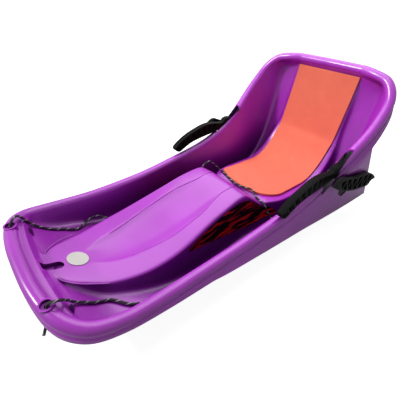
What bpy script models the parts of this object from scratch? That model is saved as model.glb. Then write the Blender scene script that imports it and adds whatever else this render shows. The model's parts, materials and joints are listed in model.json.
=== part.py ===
"""Child's bobsled: a moulded tub with a rolled rim, two brake levers on pins, a seat pad and a tow rope.

Frame: metres, +Z up, the ground at z = 0. The nose points along -Y and the backrest stands at +Y.
The origin lies on the ground under the middle of the hull's box. Sizes below are in millimetres.
The rider faces -Y, so the rider's left is at +X.
"""

import bmesh
import bpy
import numpy as np
from math import cos, pi, radians, sin
from mathutils import Vector

MM = 0.001

# Moulding. The walls' lower edges are trimmed level with the ground by a box, and cutters run on
# past a face by CUT_PAST
WALL = 3.5
FLOOR = 3.1
FIT = 0.3
CUT_PAST = 10.0
GROUND_CUT = ((-260.0, -500.0, -30.0), (260.0, 500.0, 0.0))

# Rolled rim: inner edge from the middle of the nose round one side to the middle of the back.
# Columns: x, y, z of the inner edge, the way across the roll (x, y, z), the flange's drop under the
# roll and its flare outside it
ROLL_WIDTH = 26.5
ROLL_HEIGHT = 12.5
RIM = (
    (0.0, -449.5, 131.0, 0.0, -1.0, 0.0, 26.0, 0.0),
    (40.0, -449.0, 130.5, 0.0, -1.0, 0.0, 26.0, 0.0),
    (80.0, -446.0, 129.0, 0.08, -1.0, 0.0, 27.0, 0.0),
    (115.0, -440.0, 126.5, 0.3, -0.95, 0.0, 27.0, 0.0),
    (138.5, -431.0, 122.0, 0.62, -0.78, 0.0, 26.0, 0.0),
    (165.5, -399.5, 108.0, 0.94, -0.34, 0.0, 19.0, 0.0),
    (173.0, -337.5, 95.5, 1.0, -0.02, 0.0, 14.0, 2.0),
    (171.5, -242.0, 89.5, 1.0, 0.01, 0.0, 17.5, 5.0),
    (172.5, -126.5, 91.5, 1.0, -0.02, 0.0, 25.0, 6.0),
    (176.0, -6.5, 103.0, 1.0, -0.03, 0.0, 32.0, 6.0),
    (179.0, 105.5, 119.0, 1.0, -0.02, 0.0, 36.0, 6.0),
    (180.0, 203.0, 149.5, 1.0, -0.05, 0.02, 43.0, 6.0),
    (189.0, 285.5, 202.0, 1.0, -0.05, 0.08, 40.0, 6.0),
    (198.0, 353.0, 260.5, 0.97, 0.05, 0.2, 34.0, 6.0),
    (194.0, 398.5, 312.5, 0.95, 0.25, 0.12, 30.0, 4.0),
    (165.0, 421.0, 350.0, 0.6, 0.55, 0.35, 30.0, 3.0),
    (122.0, 429.0, 358.0, 0.15, 0.66, 0.62, 30.0, 3.0),
    (98.0, 438.0, 357.5, 0.05, 0.58, 0.81, 30.0, 3.0),
    (0.0, 444.0, 357.0, 0.0, 0.55, 0.83, 30.0, 3.0),
)
NOSE_CORNER, BACK_CORNER = 4, 15
CREASE_DROP, CREASE_PART, CREASE_IN = 12.0, 0.42, 2.0
STRIP_DROP, STRIP_PART, STRIP_FLARE = 15.0, 0.56, 0.3

# Deep side apron under the flange: where it hangs from the rim, its lower edge and its rearward rake
APRON_Y = (-160.0, 344.0)
APRON_EDGE = (
    (-160.0, 206.5, 66.5),
    (0.0, 212.5, 54.5),
    (100.0, 216.5, 49.0),
    (230.0, 219.5, 34.5),
    (370.0, 222.0, 20.0),
    (478.0, 223.5, 12.0),
)
RAKE_FROM, RAKE_LENGTH, RAKE_POWER = 100.0, 136.0, 1.6

# Nose shelf behind the roll: the top and the bottom of its step, each (y, y bend, z, z fall)
SHELF_TOP = (-437.5, 10.5, 127.0, 8.0)
SHELF_FOOT = (-428.5, 8.5, 108.0, 11.0)
SHELF_BEND_X = 145.0
SHELF_HALF = 135.0
SHELF_SIDE_Y = (-426.5, -422.5, -418.0)
NOSE_COLUMNS = (0.0, 0.1, 0.2, 0.27, 0.33, 0.4, 0.47, 0.55, 0.64, 0.74, 0.84, 0.93, 1.0)

# Stations along the hull. Columns: y and z of the middle body on the centre line, z of its
# shoulder, its half width, depth of the dished top, y and z of the leg channel, y of the rim
STATIONS = (
    (-421.0, 103.5, 103.0, 30.0, 0.0, -421.0, 99.5, -413.0),
    (-412.0, 100.5, 100.0, 48.0, 0.0, -412.0, 91.5, -405.0),
    (-400.0, 96.5, 95.5, 58.5, 0.0, -400.0, 80.0, -394.0),
    (-386.0, 91.5, 90.5, 66.0, 0.0, -386.0, 68.0, -382.0),
    (-370.0, 86.5, 84.5, 74.0, 0.0, -370.0, 58.0, -368.0),
    (-354.0, 81.0, 79.0, 81.5, 0.0, -354.0, 51.0, -353.0),
    (-338.0, 76.0, 73.5, 87.5, 0.5, -338.0, 46.5, -337.5),
    (-310.0, 74.5, 70.0, 96.0, 6.0, -310.0, 38.0, -310.0),
    (-278.0, 73.0, 69.0, 103.0, 7.0, -278.0, 28.5, -278.0),
    (-246.0, 75.0, 70.5, 106.5, 7.5, -246.0, 21.0, -246.0),
    (-212.0, 79.5, 74.0, 108.0, 8.0, -212.0, 14.5, -212.0),
    (-178.0, 85.5, 80.0, 107.0, 8.0, -178.0, 9.5, -178.0),
    (-145.0, 93.5, 89.0, 104.0, 7.5, -145.0, 6.5, -145.0),
    (-112.0, 101.5, 98.5, 99.5, 7.0, -112.0, 4.5, -112.0),
    (-80.0, 109.5, 107.0, 97.0, 6.0, -80.0, FLOOR, -80.0),
    (-50.0, 117.0, 114.5, 95.5, 4.0, -50.0, FLOOR, -50.0),
    (-22.0, 123.5, 119.5, 93.5, 2.0, -22.0, FLOOR, -22.0),
    (2.0, 127.0, 122.5, 91.5, 0.0, 2.0, FLOOR, 2.0),
    (20.0, 128.0, 123.0, 91.0, 0.0, 20.0, FLOOR, 20.0),
    (33.0, 125.0, 120.0, 91.5, 0.0, 33.0, FLOOR, 33.0),
    (47.0, 113.5, 110.0, 92.5, 0.0, 47.0, FLOOR, 47.0),
    (62.0, 97.5, 96.0, 94.5, 0.0, 62.0, FLOOR, 62.0),
    (77.0, 84.0, 83.5, 96.0, 0.0, 77.0, FLOOR, 77.0),
    (89.0, 72.0, 72.0, 97.0, 0.0, 89.0, FLOOR, 89.0),
    (98.0, 64.5, 64.5, 97.5, 0.0, 98.0, FLOOR, 97.0),
    (104.0, 65.0, 65.0, 98.5, 0.0, 104.0, FLOOR, 103.0),
    (110.0, 70.0, 70.0, 101.0, 0.0, 110.0, FLOOR, 109.0),
    (126.0, 68.5, 68.5, 108.0, 0.0, 126.0, FLOOR, 124.0),
    (152.0, 66.0, 66.0, 117.0, 0.0, 152.0, FLOOR, 148.0),
    (186.0, 63.5, 63.5, 120.0, 0.0, 186.0, FLOOR, 180.0),
    (220.0, 62.0, 62.0, 120.0, 0.0, 220.0, FLOOR, 212.0),
    (254.0, 61.0, 61.0, 120.0, 0.0, 254.0, 4.0, 242.0),
    (285.0, 60.5, 60.5, 120.0, 0.0, 285.0, 5.0, 268.0),
    (312.0, 66.0, 66.0, 120.0, 0.0, 329.5, 15.5, 287.0),
    (338.0, 79.0, 79.0, 120.0, 0.0, 363.0, 40.5, 305.0),
    (361.0, 99.0, 99.0, 119.5, 0.0, 386.5, 73.0, 324.0),
    (380.0, 121.0, 121.0, 118.0, 0.0, 402.0, 105.0, 344.0),
    (396.0, 147.0, 147.0, 114.0, 0.0, 412.5, 137.5, 361.0),
    (409.0, 169.5, 169.5, 110.0, 0.0, 421.0, 167.0, 376.0),
    (419.0, 213.0, 213.0, 105.0, 0.0, 432.0, 210.0, 391.0),
    (429.0, 258.0, 258.0, 104.5, 0.0, 441.0, 255.5, 402.0),
    (438.5, 303.0, 303.0, 103.5, 0.0, 447.0, 301.0, 411.0),
    (446.5, 350.0, 350.0, 101.0, 0.0, 448.0, 347.5, 417.5),
)
DISH_HALF = 58.0
SHOULDER, DRAFT, RIM_TUCK, POCKET_HALF = 7.0, 0.1, 6.0, 165.0
FLOOR_CORNER, WALL_FOOT = 5.0, 8.0

# Tow rope, its bosses on the nose roll and its stop knots
ROPE = 5.0
HOLE = 8.4
BOSS_X, BOSS_Y, BOSS_TOP, BOSS_FOOT = 113.4, -451.5, 141.0, 121.0
BOSS_RADIUS, DISH_RADIUS, DISH_DEPTH = 12.5, 9.5, 5.0
KNOT_RADIUS = 8.0

# Recess in the nose shelf and in the foot of the body, seen from the side (y, z)
SLOT_X, SLOT_HALF, SLOT_WALL = 5.0, 10.0, 5.0
SLOT_FRONT, SLOT_BEND, SLOT_FLOOR = -434.0, -407.0, (98.5, 89.0)
SLOT_CUP = (
    (-444.0, 124.5), (-438.5, 124.0), (-437.0, 122.5), (-429.5, 106.0), (-420.0, 100.8), (-400.0, 94.0),
    (-389.0, 90.3), (-389.0, 83.5), (-411.0, 83.5), (-444.0, 93.0),
)

# Brake levers: pivot, hub, pin, the planes of the handle and of the claw, and where the hull's bosses
# meet the tub wall and the apron. A bridge through the apron's window joins the handle to the claw
PIVOT_Y, PIVOT_Z = 267.0, 153.0
HUB_RADIUS, PIN_RADIUS, PIN_PLAY = 11.0, 4.0, 0.15
HANDLE_X = (191.0, 207.5)
CLAW_X = (227.5, 238.5)
SIDE_PLAY = 0.5
PIVOT_BOSS_X = (183.5, 217.0)
PIN_SHORT, PIN_END_PLAY = 1.5, 0.3
BRIDGE_IN = 3.5
HUB_ARC, HUB_ARC_POINTS = (0.3, 2.6), 7
HANDLE_TOP = (
    (12.0, 136.0), (25.5, 149.5), (57.0, 166.5), (91.5, 178.0), (136.0, 187.0), (176.0, 184.0),
    (190.0, 180.0), (210.0, 179.0), (220.0, 188.0), (238.0, 190.0), (253.0, 186.0),
)
HANDLE_BOTTOM = (
    (30.0, 122.6), (47.0, 131.2), (76.5, 143.2), (111.5, 149.0), (141.0, 152.0), (176.0, 155.0),
    (200.0, 157.0), (228.0, 160.0), (242.0, 148.0),
)
ARM = ((262.0, 165.0), (279.0, 156.0), (327.0, 136.0), (329.0, 113.0), (289.0, 113.0), (257.0, 147.0))
BRIDGE = ((293.0, 135.0), (325.0, 131.0), (327.0, 117.0), (295.0, 116.0))
CLAW = (
    (173.0, 164.0), (188.5, 175.5), (208.0, 180.0), (239.0, 167.5), (287.0, 151.5), (325.0, 144.0),
    (375.0, 133.0), (416.0, 115.0), (450.0, 90.0), (426.0, 91.0), (409.0, 79.0), (369.0, 88.0),
    (297.0, 107.5), (217.0, 139.0),
)
RIB, RIB_DEPTH, RIB_BAYS = 3.0, 5.0, 8
RIB_SHARE, POCKET_LEAST, POCKET_PAST = 1.6, 0.3, 1.0
ROLL_SLOT_PLAY = 1.2
ROLL_SLOT_Y, ROLL_SLOT_Z = (183.0, 286.0), (120.0, 240.0)
WINDOW_PLAY = 4.0
APRON_WINDOW = (
    (259.0, 108.0), (272.0, 127.5), (292.0, 140.0), (331.0, 135.0), (331.0, 111.0), (318.0, 97.0),
    (302.0, 86.0), (287.0, 81.0), (262.0, 97.0),
)

# Seat pad: half width, thickness, gap to the platform and front edge. Its corners draw back by an
# amount and a power of the way across, one pair for the +X side and one for the other side
PAD_HALF, PAD_THICK, PAD_GAP = 98.0, 5.5, 0.5
PAD_FRONT, PAD_DRAW = 110.5, ((58.0, 2.6), (26.0, 1.8))
PAD_COLUMNS = 12
PAD_FLAT_ROW, PAD_FRONT_SHARES = 3, (0.0, 0.35, 0.7)

# Film panels on the body's side walls (y, lower z, upper z) and the blank disc on its front, which
# lies on the slope of the body under it
FILM, FILM_GAP = 0.5, 0.6
DECAL = (
    (-168.0, 65.0, 69.0), (-145.0, 61.0, 79.0), (-112.0, 53.5, 88.0), (-80.0, 47.5, 97.0),
    (-50.0, 42.0, 105.0), (-22.0, 36.5, 109.0), (2.0, 31.0, 110.0), (20.0, 28.0, 109.0),
    (33.0, 26.0, 106.0), (47.0, 24.5, 99.0), (62.0, 23.5, 87.0), (77.0, 23.0, 75.0),
    (89.0, 22.5, 64.0), (98.0, 23.0, 56.0), (104.0, 23.5, 56.0), (110.0, 25.0, 57.0),
    (126.0, 28.5, 48.0), (140.0, 32.5, 36.0),
)
LABEL_Y, LABEL_RADIUS, LABEL_READINGS = -370.0, 21.0, 43

# Tow rope, from the far nose hole along both leg channels to the near one
ROPE_ROUTE = (
    (-113.4, -451.5, 136.0), (-115.0, -449.5, 143.0), (-121.0, -442.0, 147.5), (-130.0, -434.0, 145.5),
    (-137.0, -427.0, 134.0), (-142.0, -419.5, 115.0), (-144.5, -410.0, 98.5), (-144.5, -399.0, 85.5),
    (-144.0, -386.0, 73.5), (-143.5, -370.0, 63.0), (-142.0, -354.0, 56.0), (-136.0, -339.0, 51.5),
    (-134.0, -325.0, 47.0), (-144.0, -309.0, 44.0), (-150.0, -297.0, 46.0), (-151.5, -282.0, 49.0),
    (-150.0, -267.0, 47.5), (-145.0, -255.0, 40.0), (-139.0, -240.0, 27.0), (-136.0, -218.0, 20.0),
    (-136.0, -180.0, 14.0), (-140.0, -135.0, 10.0), (-142.0, -85.0, 7.5), (-140.0, -35.0, 6.5),
    (-137.0, 0.0, 9.5), (-130.0, 22.0, 32.0), (-119.0, 38.0, 70.0), (-110.0, 49.0, 97.0),
    (-105.5, 60.0, 110.5), (-104.0, 73.0, 116.5), (-102.5, 86.0, 110.0), (-100.0, 99.0, 97.0),
    (-97.0, 111.0, 83.0), (-91.0, 120.0, 74.5), (-76.0, 119.0, 72.5), (-54.0, 113.0, 72.8),
    (-35.0, 108.0, 72.5), (-14.0, 105.5, 72.5), (6.0, 105.5, 74.0), (24.0, 107.5, 77.5),
    (41.0, 111.0, 79.5), (54.0, 110.5, 76.5), (66.0, 106.0, 71.5), (80.0, 102.5, 68.2),
    (93.0, 101.5, 68.4), (101.5, 101.5, 66.5), (106.0, 102.5, 58.0), (112.0, 107.0, 43.0),
    (119.0, 114.0, 29.0), (127.0, 121.0, 14.5), (134.5, 120.0, 7.0), (140.0, 105.0, 6.5),
    (142.5, 60.0, 6.5), (142.0, 5.0, 6.5), (141.0, -50.0, 6.5), (141.5, -110.0, 8.5),
    (143.0, -165.0, 12.5), (144.0, -215.0, 19.5), (144.0, -262.0, 28.5), (142.0, -300.0, 39.5),
    (137.0, -321.0, 45.5), (128.0, -334.0, 49.5), (116.0, -344.5, 53.0), (106.5, -355.5, 56.5),
    (104.5, -369.0, 62.5), (104.5, -385.0, 73.0), (103.0, -399.0, 85.5), (104.0, -411.0, 98.0),
    (107.0, -419.0, 113.5), (114.0, -425.0, 129.0), (120.5, -431.5, 142.5), (122.0, -439.5, 147.5),
    (118.0, -447.0, 145.5), (114.0, -451.0, 136.0),
)
ROPE_POINTS = 78
TAIL_END = (117.0, -472.0, 80.0)

COLOURS = {
    "hull": ((0.50, 0.08, 0.58), 0.3, 0.0),
    "lever": ((0.012, 0.013, 0.013), 0.4, 0.0),
    "pin": ((0.55, 0.55, 0.57), 0.3, 1.0),
    "pad": ((1.0, 0.18, 0.11), 0.75, 0.0),
    "rope": ((0.02, 0.02, 0.022), 0.8, 0.0),
    "film": ((0.02, 0.004, 0.004), 0.3, 0.0),
    "label": ((0.78, 0.78, 0.75), 0.4, 0.0),
}


def clear_scene():
    for obj in list(bpy.data.objects):
        bpy.data.objects.remove(obj, do_unlink=True)


def collection(name, hidden=False):
    made = bpy.data.collections.new(name)
    bpy.context.scene.collection.children.link(made)
    made.hide_render = hidden
    return made


def material(key):
    name = "bobsled_" + key
    if name in bpy.data.materials:
        return bpy.data.materials[name]
    colour, roughness, metallic = COLOURS[key]
    made = bpy.data.materials.new(name)
    made.use_nodes = True
    shader = made.node_tree.nodes["Principled BSDF"]
    shader.inputs["Base Color"].default_value = (*colour, 1.0)
    shader.inputs["Roughness"].default_value = roughness
    shader.inputs["Metallic"].default_value = metallic
    made.diffuse_color = (*colour, 1.0)
    return made


def smooth(stations, column, at):
    """Reads one column of a station table at any place along it, with no overshoot between stations."""
    table = np.asarray(stations, float)
    xs, ys = table[:, 0], table[:, column]
    at = np.asarray(at, float)
    step = np.diff(xs)
    rise = np.diff(ys) / step
    slope = np.concatenate([rise[:1], np.zeros(len(xs) - 2), rise[-1:]])
    for i in range(1, len(xs) - 1):
        if rise[i - 1] * rise[i] > 0:
            a, b = 2 * step[i] + step[i - 1], step[i] + 2 * step[i - 1]
            slope[i] = (a + b) / (a / rise[i - 1] + b / rise[i])
    i = np.clip(np.searchsorted(xs, at) - 1, 0, len(step) - 1)
    t = (at - xs[i]) / step[i]
    return (
        (1 + 2 * t) * (1 - t) ** 2 * ys[i]
        + t * (1 - t) ** 2 * step[i] * slope[i]
        + t * t * (3 - 2 * t) * ys[i + 1]
        + t * t * (t - 1) * step[i] * slope[i + 1]
    )


class Rim:
    """The rolled rim along one side, measured by the length walked from the middle of the nose."""

    def __init__(self):
        points = np.array([row[:3] for row in RIM])
        walked = np.concatenate([[0.0], np.cumsum(np.linalg.norm(np.diff(points, axis=0), axis=1))])
        self.table = np.column_stack([walked, np.array(RIM)])
        self.nose_corner, self.back_corner = walked[NOSE_CORNER], walked[BACK_CORNER]
        self.length = walked[-1]
        self.fine = np.linspace(0.0, self.length, 4001)
        self.trace = self.read(self.fine, (1, 2, 3))

    def read(self, s, columns):
        return np.stack([smooth(self.table, c, s) for c in columns], axis=-1)

    def point(self, s):
        return self.read(s, (1, 2, 3))

    def where_y(self, y):
        side = (self.fine >= self.nose_corner) & (self.fine <= self.back_corner)
        return np.interp(y, self.trace[side, 1], self.fine[side])

    def rings(self, s):
        """The roll, the crease under it and the flange strip at one place, from the inner edge outwards."""
        s = np.atleast_1d(s)
        ahead, behind = np.minimum(s + 1.0, self.length), np.maximum(s - 1.0, 0.0)
        along = self.point(ahead) - self.point(behind)
        along /= np.linalg.norm(along, axis=1, keepdims=True)
        across = self.read(s, (4, 5, 6))
        across -= along * np.sum(across * along, axis=1, keepdims=True)
        across /= np.linalg.norm(across, axis=1, keepdims=True)
        centre = (s <= 1e-6) | (s >= self.length - 1e-6)
        across[centre, 0] = 0.0
        bulge = np.cross(across, along)
        bulge[centre, 0] = 0.0
        plan = across * (1, 1, 0)
        plan /= np.linalg.norm(plan, axis=1, keepdims=True)
        drop, flare = self.read(s, (7,)), self.read(s, (8,))
        up = np.array([0.0, 0.0, 1.0])
        inner = self.point(s)
        rows = []
        for part in (0.25, 0.5, 0.75, 1.0):
            over = 1 - cos(pi * part)
            rows.append(inner + across * ROLL_WIDTH / 2 * over + bulge * ROLL_HEIGHT * sin(pi * part))
        outer = rows[-1]
        rows.append(outer - plan * CREASE_IN - up * np.minimum(CREASE_DROP, CREASE_PART * drop))
        rows.append(outer + plan * STRIP_FLARE * flare - up * np.minimum(STRIP_DROP, STRIP_PART * drop))
        rows.append(outer + plan * flare - up * drop)
        return rows


def shelf(edge, x):
    y, y_bend, z, z_fall = edge
    bent = (x / SHELF_BEND_X) ** 2
    return np.column_stack([x, y + y_bend * bent, z - z_fall * bent])


def nose_rows(rim):
    """The roll's foot, the shelf and its step, from the middle plane to the rim."""
    part = np.array(NOSE_COLUMNS)
    foot = rim.point(part * rim.nose_corner)
    x = part * SHELF_HALF
    top, bottom = shelf(SHELF_TOP, x), shelf(SHELF_FOOT, x)
    near_foot = np.column_stack([
        x, np.interp(x, foot[:, 0], foot[:, 1]), np.interp(x, foot[:, 0], foot[:, 2])
    ])
    rows = [foot, (near_foot + top) / 2, top, bottom]
    for row, y in zip(rows[1:], SHELF_SIDE_Y):
        row[-1] = rim.point(rim.where_y(y))
    return rows


def station_row(rim, station):
    """One cross row: dished top, shoulder, side wall, leg channel and tub wall up to the rim."""
    y, z_mid, z_side, half, dish, floor_y, floor_z, rim_y = station
    edge = rim.point(rim.where_y(rim_y))
    down = np.array([floor_y - y, floor_z - z_side])
    drop = np.hypot(*down)
    down /= drop
    foot_half = half + FLOOR_CORNER - 1 + DRAFT * drop
    depth = np.hypot(edge[1] - floor_y, edge[2] - floor_z)
    wall_half = min(edge[0] - RIM_TUCK - DRAFT * depth, POCKET_HALF)
    row = []
    for x in (0.0, 0.35 * half, 0.68 * half, half - min(SHOULDER, 0.2 * half)):
        crown = (z_mid - z_side) * (1 - (x / half) ** 2)
        hollow = dish * cos(min(1.0, x / DISH_HALF) * pi / 2) ** 2
        row.append((x, y, z_side + crown - hollow))
    for x, fall in (
        (half - 1.5, min(2.0, 0.2 * drop)),
        (half + 1.0, min(WALL_FOOT, 0.4 * drop)),
        (foot_half - 1.0, drop - min(WALL_FOOT - 1, 0.35 * drop)),
    ):
        row.append((x, y + down[0] * fall, z_side + down[1] * fall))
    inner, outer = foot_half + FLOOR_CORNER, wall_half - FLOOR_CORNER
    for x in (inner, (inner + outer) / 2, outer):
        row.append((x, floor_y, floor_z))
    foot = np.array([wall_half, floor_y, floor_z])
    up = edge - foot
    row.append(foot + up * min(WALL_FOOT / np.linalg.norm(up), 0.3))
    row.append(foot + up * 0.55)
    row.append(edge)
    return np.array(row, float)


def back_row(rim):
    """The last row: the rim's inner edge over the back, with as many points as the other rows."""
    below = station_row(rim, STATIONS[-1])
    over = rim.fine >= rim.back_corner
    place = np.interp(-below[:, 0] * rim.trace[over, 0].max() / below[-1, 0],
                      -rim.trace[over, 0], rim.fine[over])
    return rim.point(place), place


def half_net(rim):
    rows = nose_rows(rim) + [station_row(rim, station) for station in STATIONS]
    last, place = back_row(rim)
    return np.array(rows + [last]), place


def mesh_object(name, points, faces, into, key=None):
    mesh = bpy.data.meshes.new(name)
    mesh.from_pydata([tuple(p * MM) for p in np.asarray(points, float)], [], faces)
    mesh.validate()
    mesh.update()
    obj = bpy.data.objects.new(name, mesh)
    into.objects.link(obj)
    if key:
        mesh.materials.append(material(key))
    return obj


def hull_surface():
    """The visible side of the moulding as one open surface: tub, roll, flange and aprons."""
    rim = Rim()
    half, back_place = half_net(rim)
    rows, columns = half.shape[:2]
    points, seen = [], {}

    def add(point):
        key = tuple(np.round(point, 4))
        if key not in seen:
            seen[key] = len(points)
            points.append(np.array(point, float))
        return seen[key]

    def face(*corners):
        kept = [c for i, c in enumerate(corners) if c != corners[i - 1]]
        if len(kept) > 2:
            faces.append(kept)

    faces = []
    for side in (1, -1):
        flip = np.array([side, 1, 1])
        grid = [[add(half[r, c] * flip) for c in range(columns)] for r in range(rows)]
        for r in range(rows - 1):
            for c in range(columns - 1):
                quad = (grid[r][c], grid[r][c + 1], grid[r + 1][c + 1], grid[r + 1][c])
                face(*(quad if side > 0 else quad[::-1]))
        side_y = list(SHELF_SIDE_Y) + [station[-1] for station in STATIONS]
        place = np.concatenate([
            np.array(NOSE_COLUMNS) * rim.nose_corner,
            rim.where_y(np.array(side_y)),
            back_place[::-1],
        ])
        border = ([grid[0][c] for c in range(columns)] + [grid[r][-1] for r in range(1, rows - 1)]
                  + [grid[-1][c] for c in range(columns - 1, -1, -1)])
        rings = [border] + [[add(p * flip) for p in ring] for ring in rim.rings(place)]
        edge_y = np.concatenate([np.full(columns, -1e9), side_y, np.full(columns, 1e9)])
        for ring, below in zip(rings, rings[1:]):
            for i in range(len(border) - 1):
                quad = (ring[i], below[i], below[i + 1], ring[i + 1])
                face(*(quad if side > 0 else quad[::-1]))
        apron(points, add, face, rings[-1], edge_y, side, flip)
    return points, faces


def apron(points, add, face, strip, edge_y, side, flip):
    """Hangs the side apron from the flange strip's lower edge."""
    first, last = APRON_Y
    held = [i for i, y in enumerate(edge_y) if first - 20 < y <= last + 1]
    columns = []
    for i in held:
        top = points[strip[i]] * flip
        rake = max(0.0, (edge_y[i] - RAKE_FROM) / (last - RAKE_FROM))
        y = top[1] + RAKE_LENGTH * rake ** RAKE_POWER
        low = np.array([smooth(APRON_EDGE, 1, y), y, smooth(APRON_EDGE, 2, y)])
        if i == held[0]:
            low = top
        columns.append([strip[i]] + [add((top + (low - top) * t) * flip) for t in (0.5, 1.0)])
    for left, right in zip(columns, columns[1:]):
        for a in range(2):
            quad = (left[a], left[a + 1], right[a + 1], right[a])
            face(*(quad if side > 0 else quad[::-1]))


def cylinder(name, radius, start, end, into, sides=24):
    """A round bar between two points, in millimetres."""
    start, end = np.array(start, float), np.array(end, float)
    length = np.linalg.norm(end - start)
    bpy.ops.mesh.primitive_cylinder_add(vertices=sides, radius=radius * MM, depth=length * MM)
    obj = bpy.context.active_object
    obj.name = name
    z = (end - start) / length
    obj.rotation_mode = "QUATERNION"
    obj.rotation_quaternion = Vector((0, 0, 1)).rotation_difference(Vector(z))
    obj.location = tuple((start + end) / 2 * MM)
    for old in list(obj.users_collection):
        old.objects.unlink(obj)
    into.objects.link(obj)
    return obj


def plate(name, outline, x_range, into, key=None):
    """A flat piece: an outline in the lengthwise plane (y, z), as thick as its range across the sled."""
    curve = bpy.data.curves.new(name + "_outline", "CURVE")
    curve.dimensions = "2D"
    curve.fill_mode = "BOTH"
    curve.extrude = (x_range[1] - x_range[0]) / 2 * MM
    spline = curve.splines.new("POLY")
    spline.points.add(len(outline) - 1)
    for point, (y, z) in zip(spline.points, outline):
        point.co = (y * MM, z * MM, 0.0, 1.0)
    spline.use_cyclic_u = True
    guide = bpy.data.objects.new(name + "_outline", curve)
    into.objects.link(guide)
    guide.rotation_euler = (radians(90), 0, radians(90))
    guide.location = ((x_range[0] + x_range[1]) / 2 * MM, 0, 0)
    return solidified(guide, name, into, key)


def solidified(guide, name, into, key=None):
    """Turns a filled curve into a closed mesh object in the same place."""
    bpy.context.view_layer.update()
    evaluated = guide.evaluated_get(bpy.context.evaluated_depsgraph_get())
    mesh = bpy.data.meshes.new_from_object(evaluated)
    mesh.name = name
    work = bmesh.new()
    work.from_mesh(mesh)
    bmesh.ops.remove_doubles(work, verts=work.verts, dist=1e-6)
    bmesh.ops.recalc_face_normals(work, faces=work.faces)
    work.to_mesh(mesh)
    work.free()
    obj = bpy.data.objects.new(name, mesh)
    obj.matrix_world = guide.matrix_world
    into.objects.link(obj)
    bpy.data.objects.remove(guide, do_unlink=True)
    mesh.materials.clear()
    if key:
        mesh.materials.append(material(key))
    return obj


def join(obj, other, operation):
    change = obj.modifiers.new(other.name, "BOOLEAN")
    change.operation = operation
    change.object = other
    change.solver = "EXACT"
    other.display_type = "WIRE"
    other.hide_render = True


def block(name, low, high, into):
    bpy.ops.mesh.primitive_cube_add(size=1.0)
    obj = bpy.context.active_object
    obj.name = name
    low, high = np.array(low, float), np.array(high, float)
    obj.scale = tuple((high - low) * MM)
    obj.location = tuple((low + high) / 2 * MM)
    for old in list(obj.users_collection):
        old.objects.unlink(obj)
    into.objects.link(obj)
    return obj


def pin_span():
    return PIVOT_BOSS_X[0] + PIN_SHORT, PIVOT_BOSS_X[1] - PIN_SHORT


def make_hull(parts, tools):
    points, faces = hull_surface()
    hull = mesh_object("hull", points, faces, parts, "hull")
    shell = hull.modifiers.new("wall", "SOLIDIFY")
    shell.thickness = WALL * MM
    shell.offset = -1.0
    shell.use_even_offset = True
    shell.use_quality_normals = True
    pin_near, pin_far = pin_span()
    for side, label in ((1, "left"), (-1, "right")):
        x = side * BOSS_X
        ring = cylinder("rope_boss_" + label, BOSS_RADIUS,
                        (x, BOSS_Y, BOSS_FOOT), (x, BOSS_Y, BOSS_TOP), tools, 32)
        join(hull, ring, "UNION")
        near, far = PIVOT_BOSS_X
        for name, a, b in (("inner", near, HANDLE_X[0] - SIDE_PLAY), ("outer", HANDLE_X[1] + SIDE_PLAY, far)):
            boss = cylinder("pivot_boss_" + name + "_" + label, HUB_RADIUS,
                            (side * a, PIVOT_Y, PIVOT_Z), (side * b, PIVOT_Y, PIVOT_Z), tools, 24)
            join(hull, boss, "UNION")
    for side, label in ((1, "left"), (-1, "right")):
        x = side * BOSS_X
        dish = cylinder("rope_dish_" + label, DISH_RADIUS, (x, BOSS_Y, BOSS_TOP - DISH_DEPTH),
                        (x, BOSS_Y, BOSS_TOP + CUT_PAST), tools, 32)
        join(hull, dish, "DIFFERENCE")
        hole = cylinder("rope_hole_" + label, HOLE / 2, (x, BOSS_Y, BOSS_FOOT - CUT_PAST),
                        (x, BOSS_Y, BOSS_TOP + CUT_PAST), tools, 16)
        join(hull, hole, "DIFFERENCE")
        bore = cylinder("pin_bore_" + label, PIN_RADIUS + PIN_PLAY,
                        (side * (pin_near - PIN_END_PLAY), PIVOT_Y, PIVOT_Z),
                        (side * (pin_far + PIN_END_PLAY), PIVOT_Y, PIVOT_Z), tools, 16)
        join(hull, bore, "DIFFERENCE")
        (y0, y1), (z0, z1) = ROLL_SLOT_Y, ROLL_SLOT_Z
        low, high = sorted((side * (HANDLE_X[0] - ROLL_SLOT_PLAY), side * (HANDLE_X[1] + ROLL_SLOT_PLAY)))
        join(hull, block("roll_slot_" + label, (low, y0, z0), (high, y1, z1), tools), "DIFFERENCE")
        low, high = sorted((side * (HANDLE_X[1] + WINDOW_PLAY), side * (CLAW_X[1] + WINDOW_PLAY)))
        window = plate("apron_window_" + label, APRON_WINDOW, (low, high), tools)
        join(hull, window, "DIFFERENCE")
    near, far = SLOT_X - SLOT_HALF, SLOT_X + SLOT_HALF
    cup = plate("nose_slot_cup", SLOT_CUP, (near - SLOT_WALL, far + SLOT_WALL), tools)
    join(hull, cup, "UNION")
    shallow, deep = SLOT_FLOOR
    run = ((SLOT_FRONT, BOSS_TOP), (SLOT_FRONT, shallow), (SLOT_BEND, deep), (SLOT_BEND, BOSS_TOP))
    join(hull, plate("nose_slot_run", run, (near, far), tools), "DIFFERENCE")
    end = cylinder("nose_slot_end", SLOT_HALF,
                   (SLOT_X, SLOT_BEND, deep), (SLOT_X, SLOT_BEND, BOSS_TOP), tools, 32)
    join(hull, end, "DIFFERENCE")
    under = block("ground_cut", *GROUND_CUT, tools)
    join(hull, under, "DIFFERENCE")
    return hull


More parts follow.
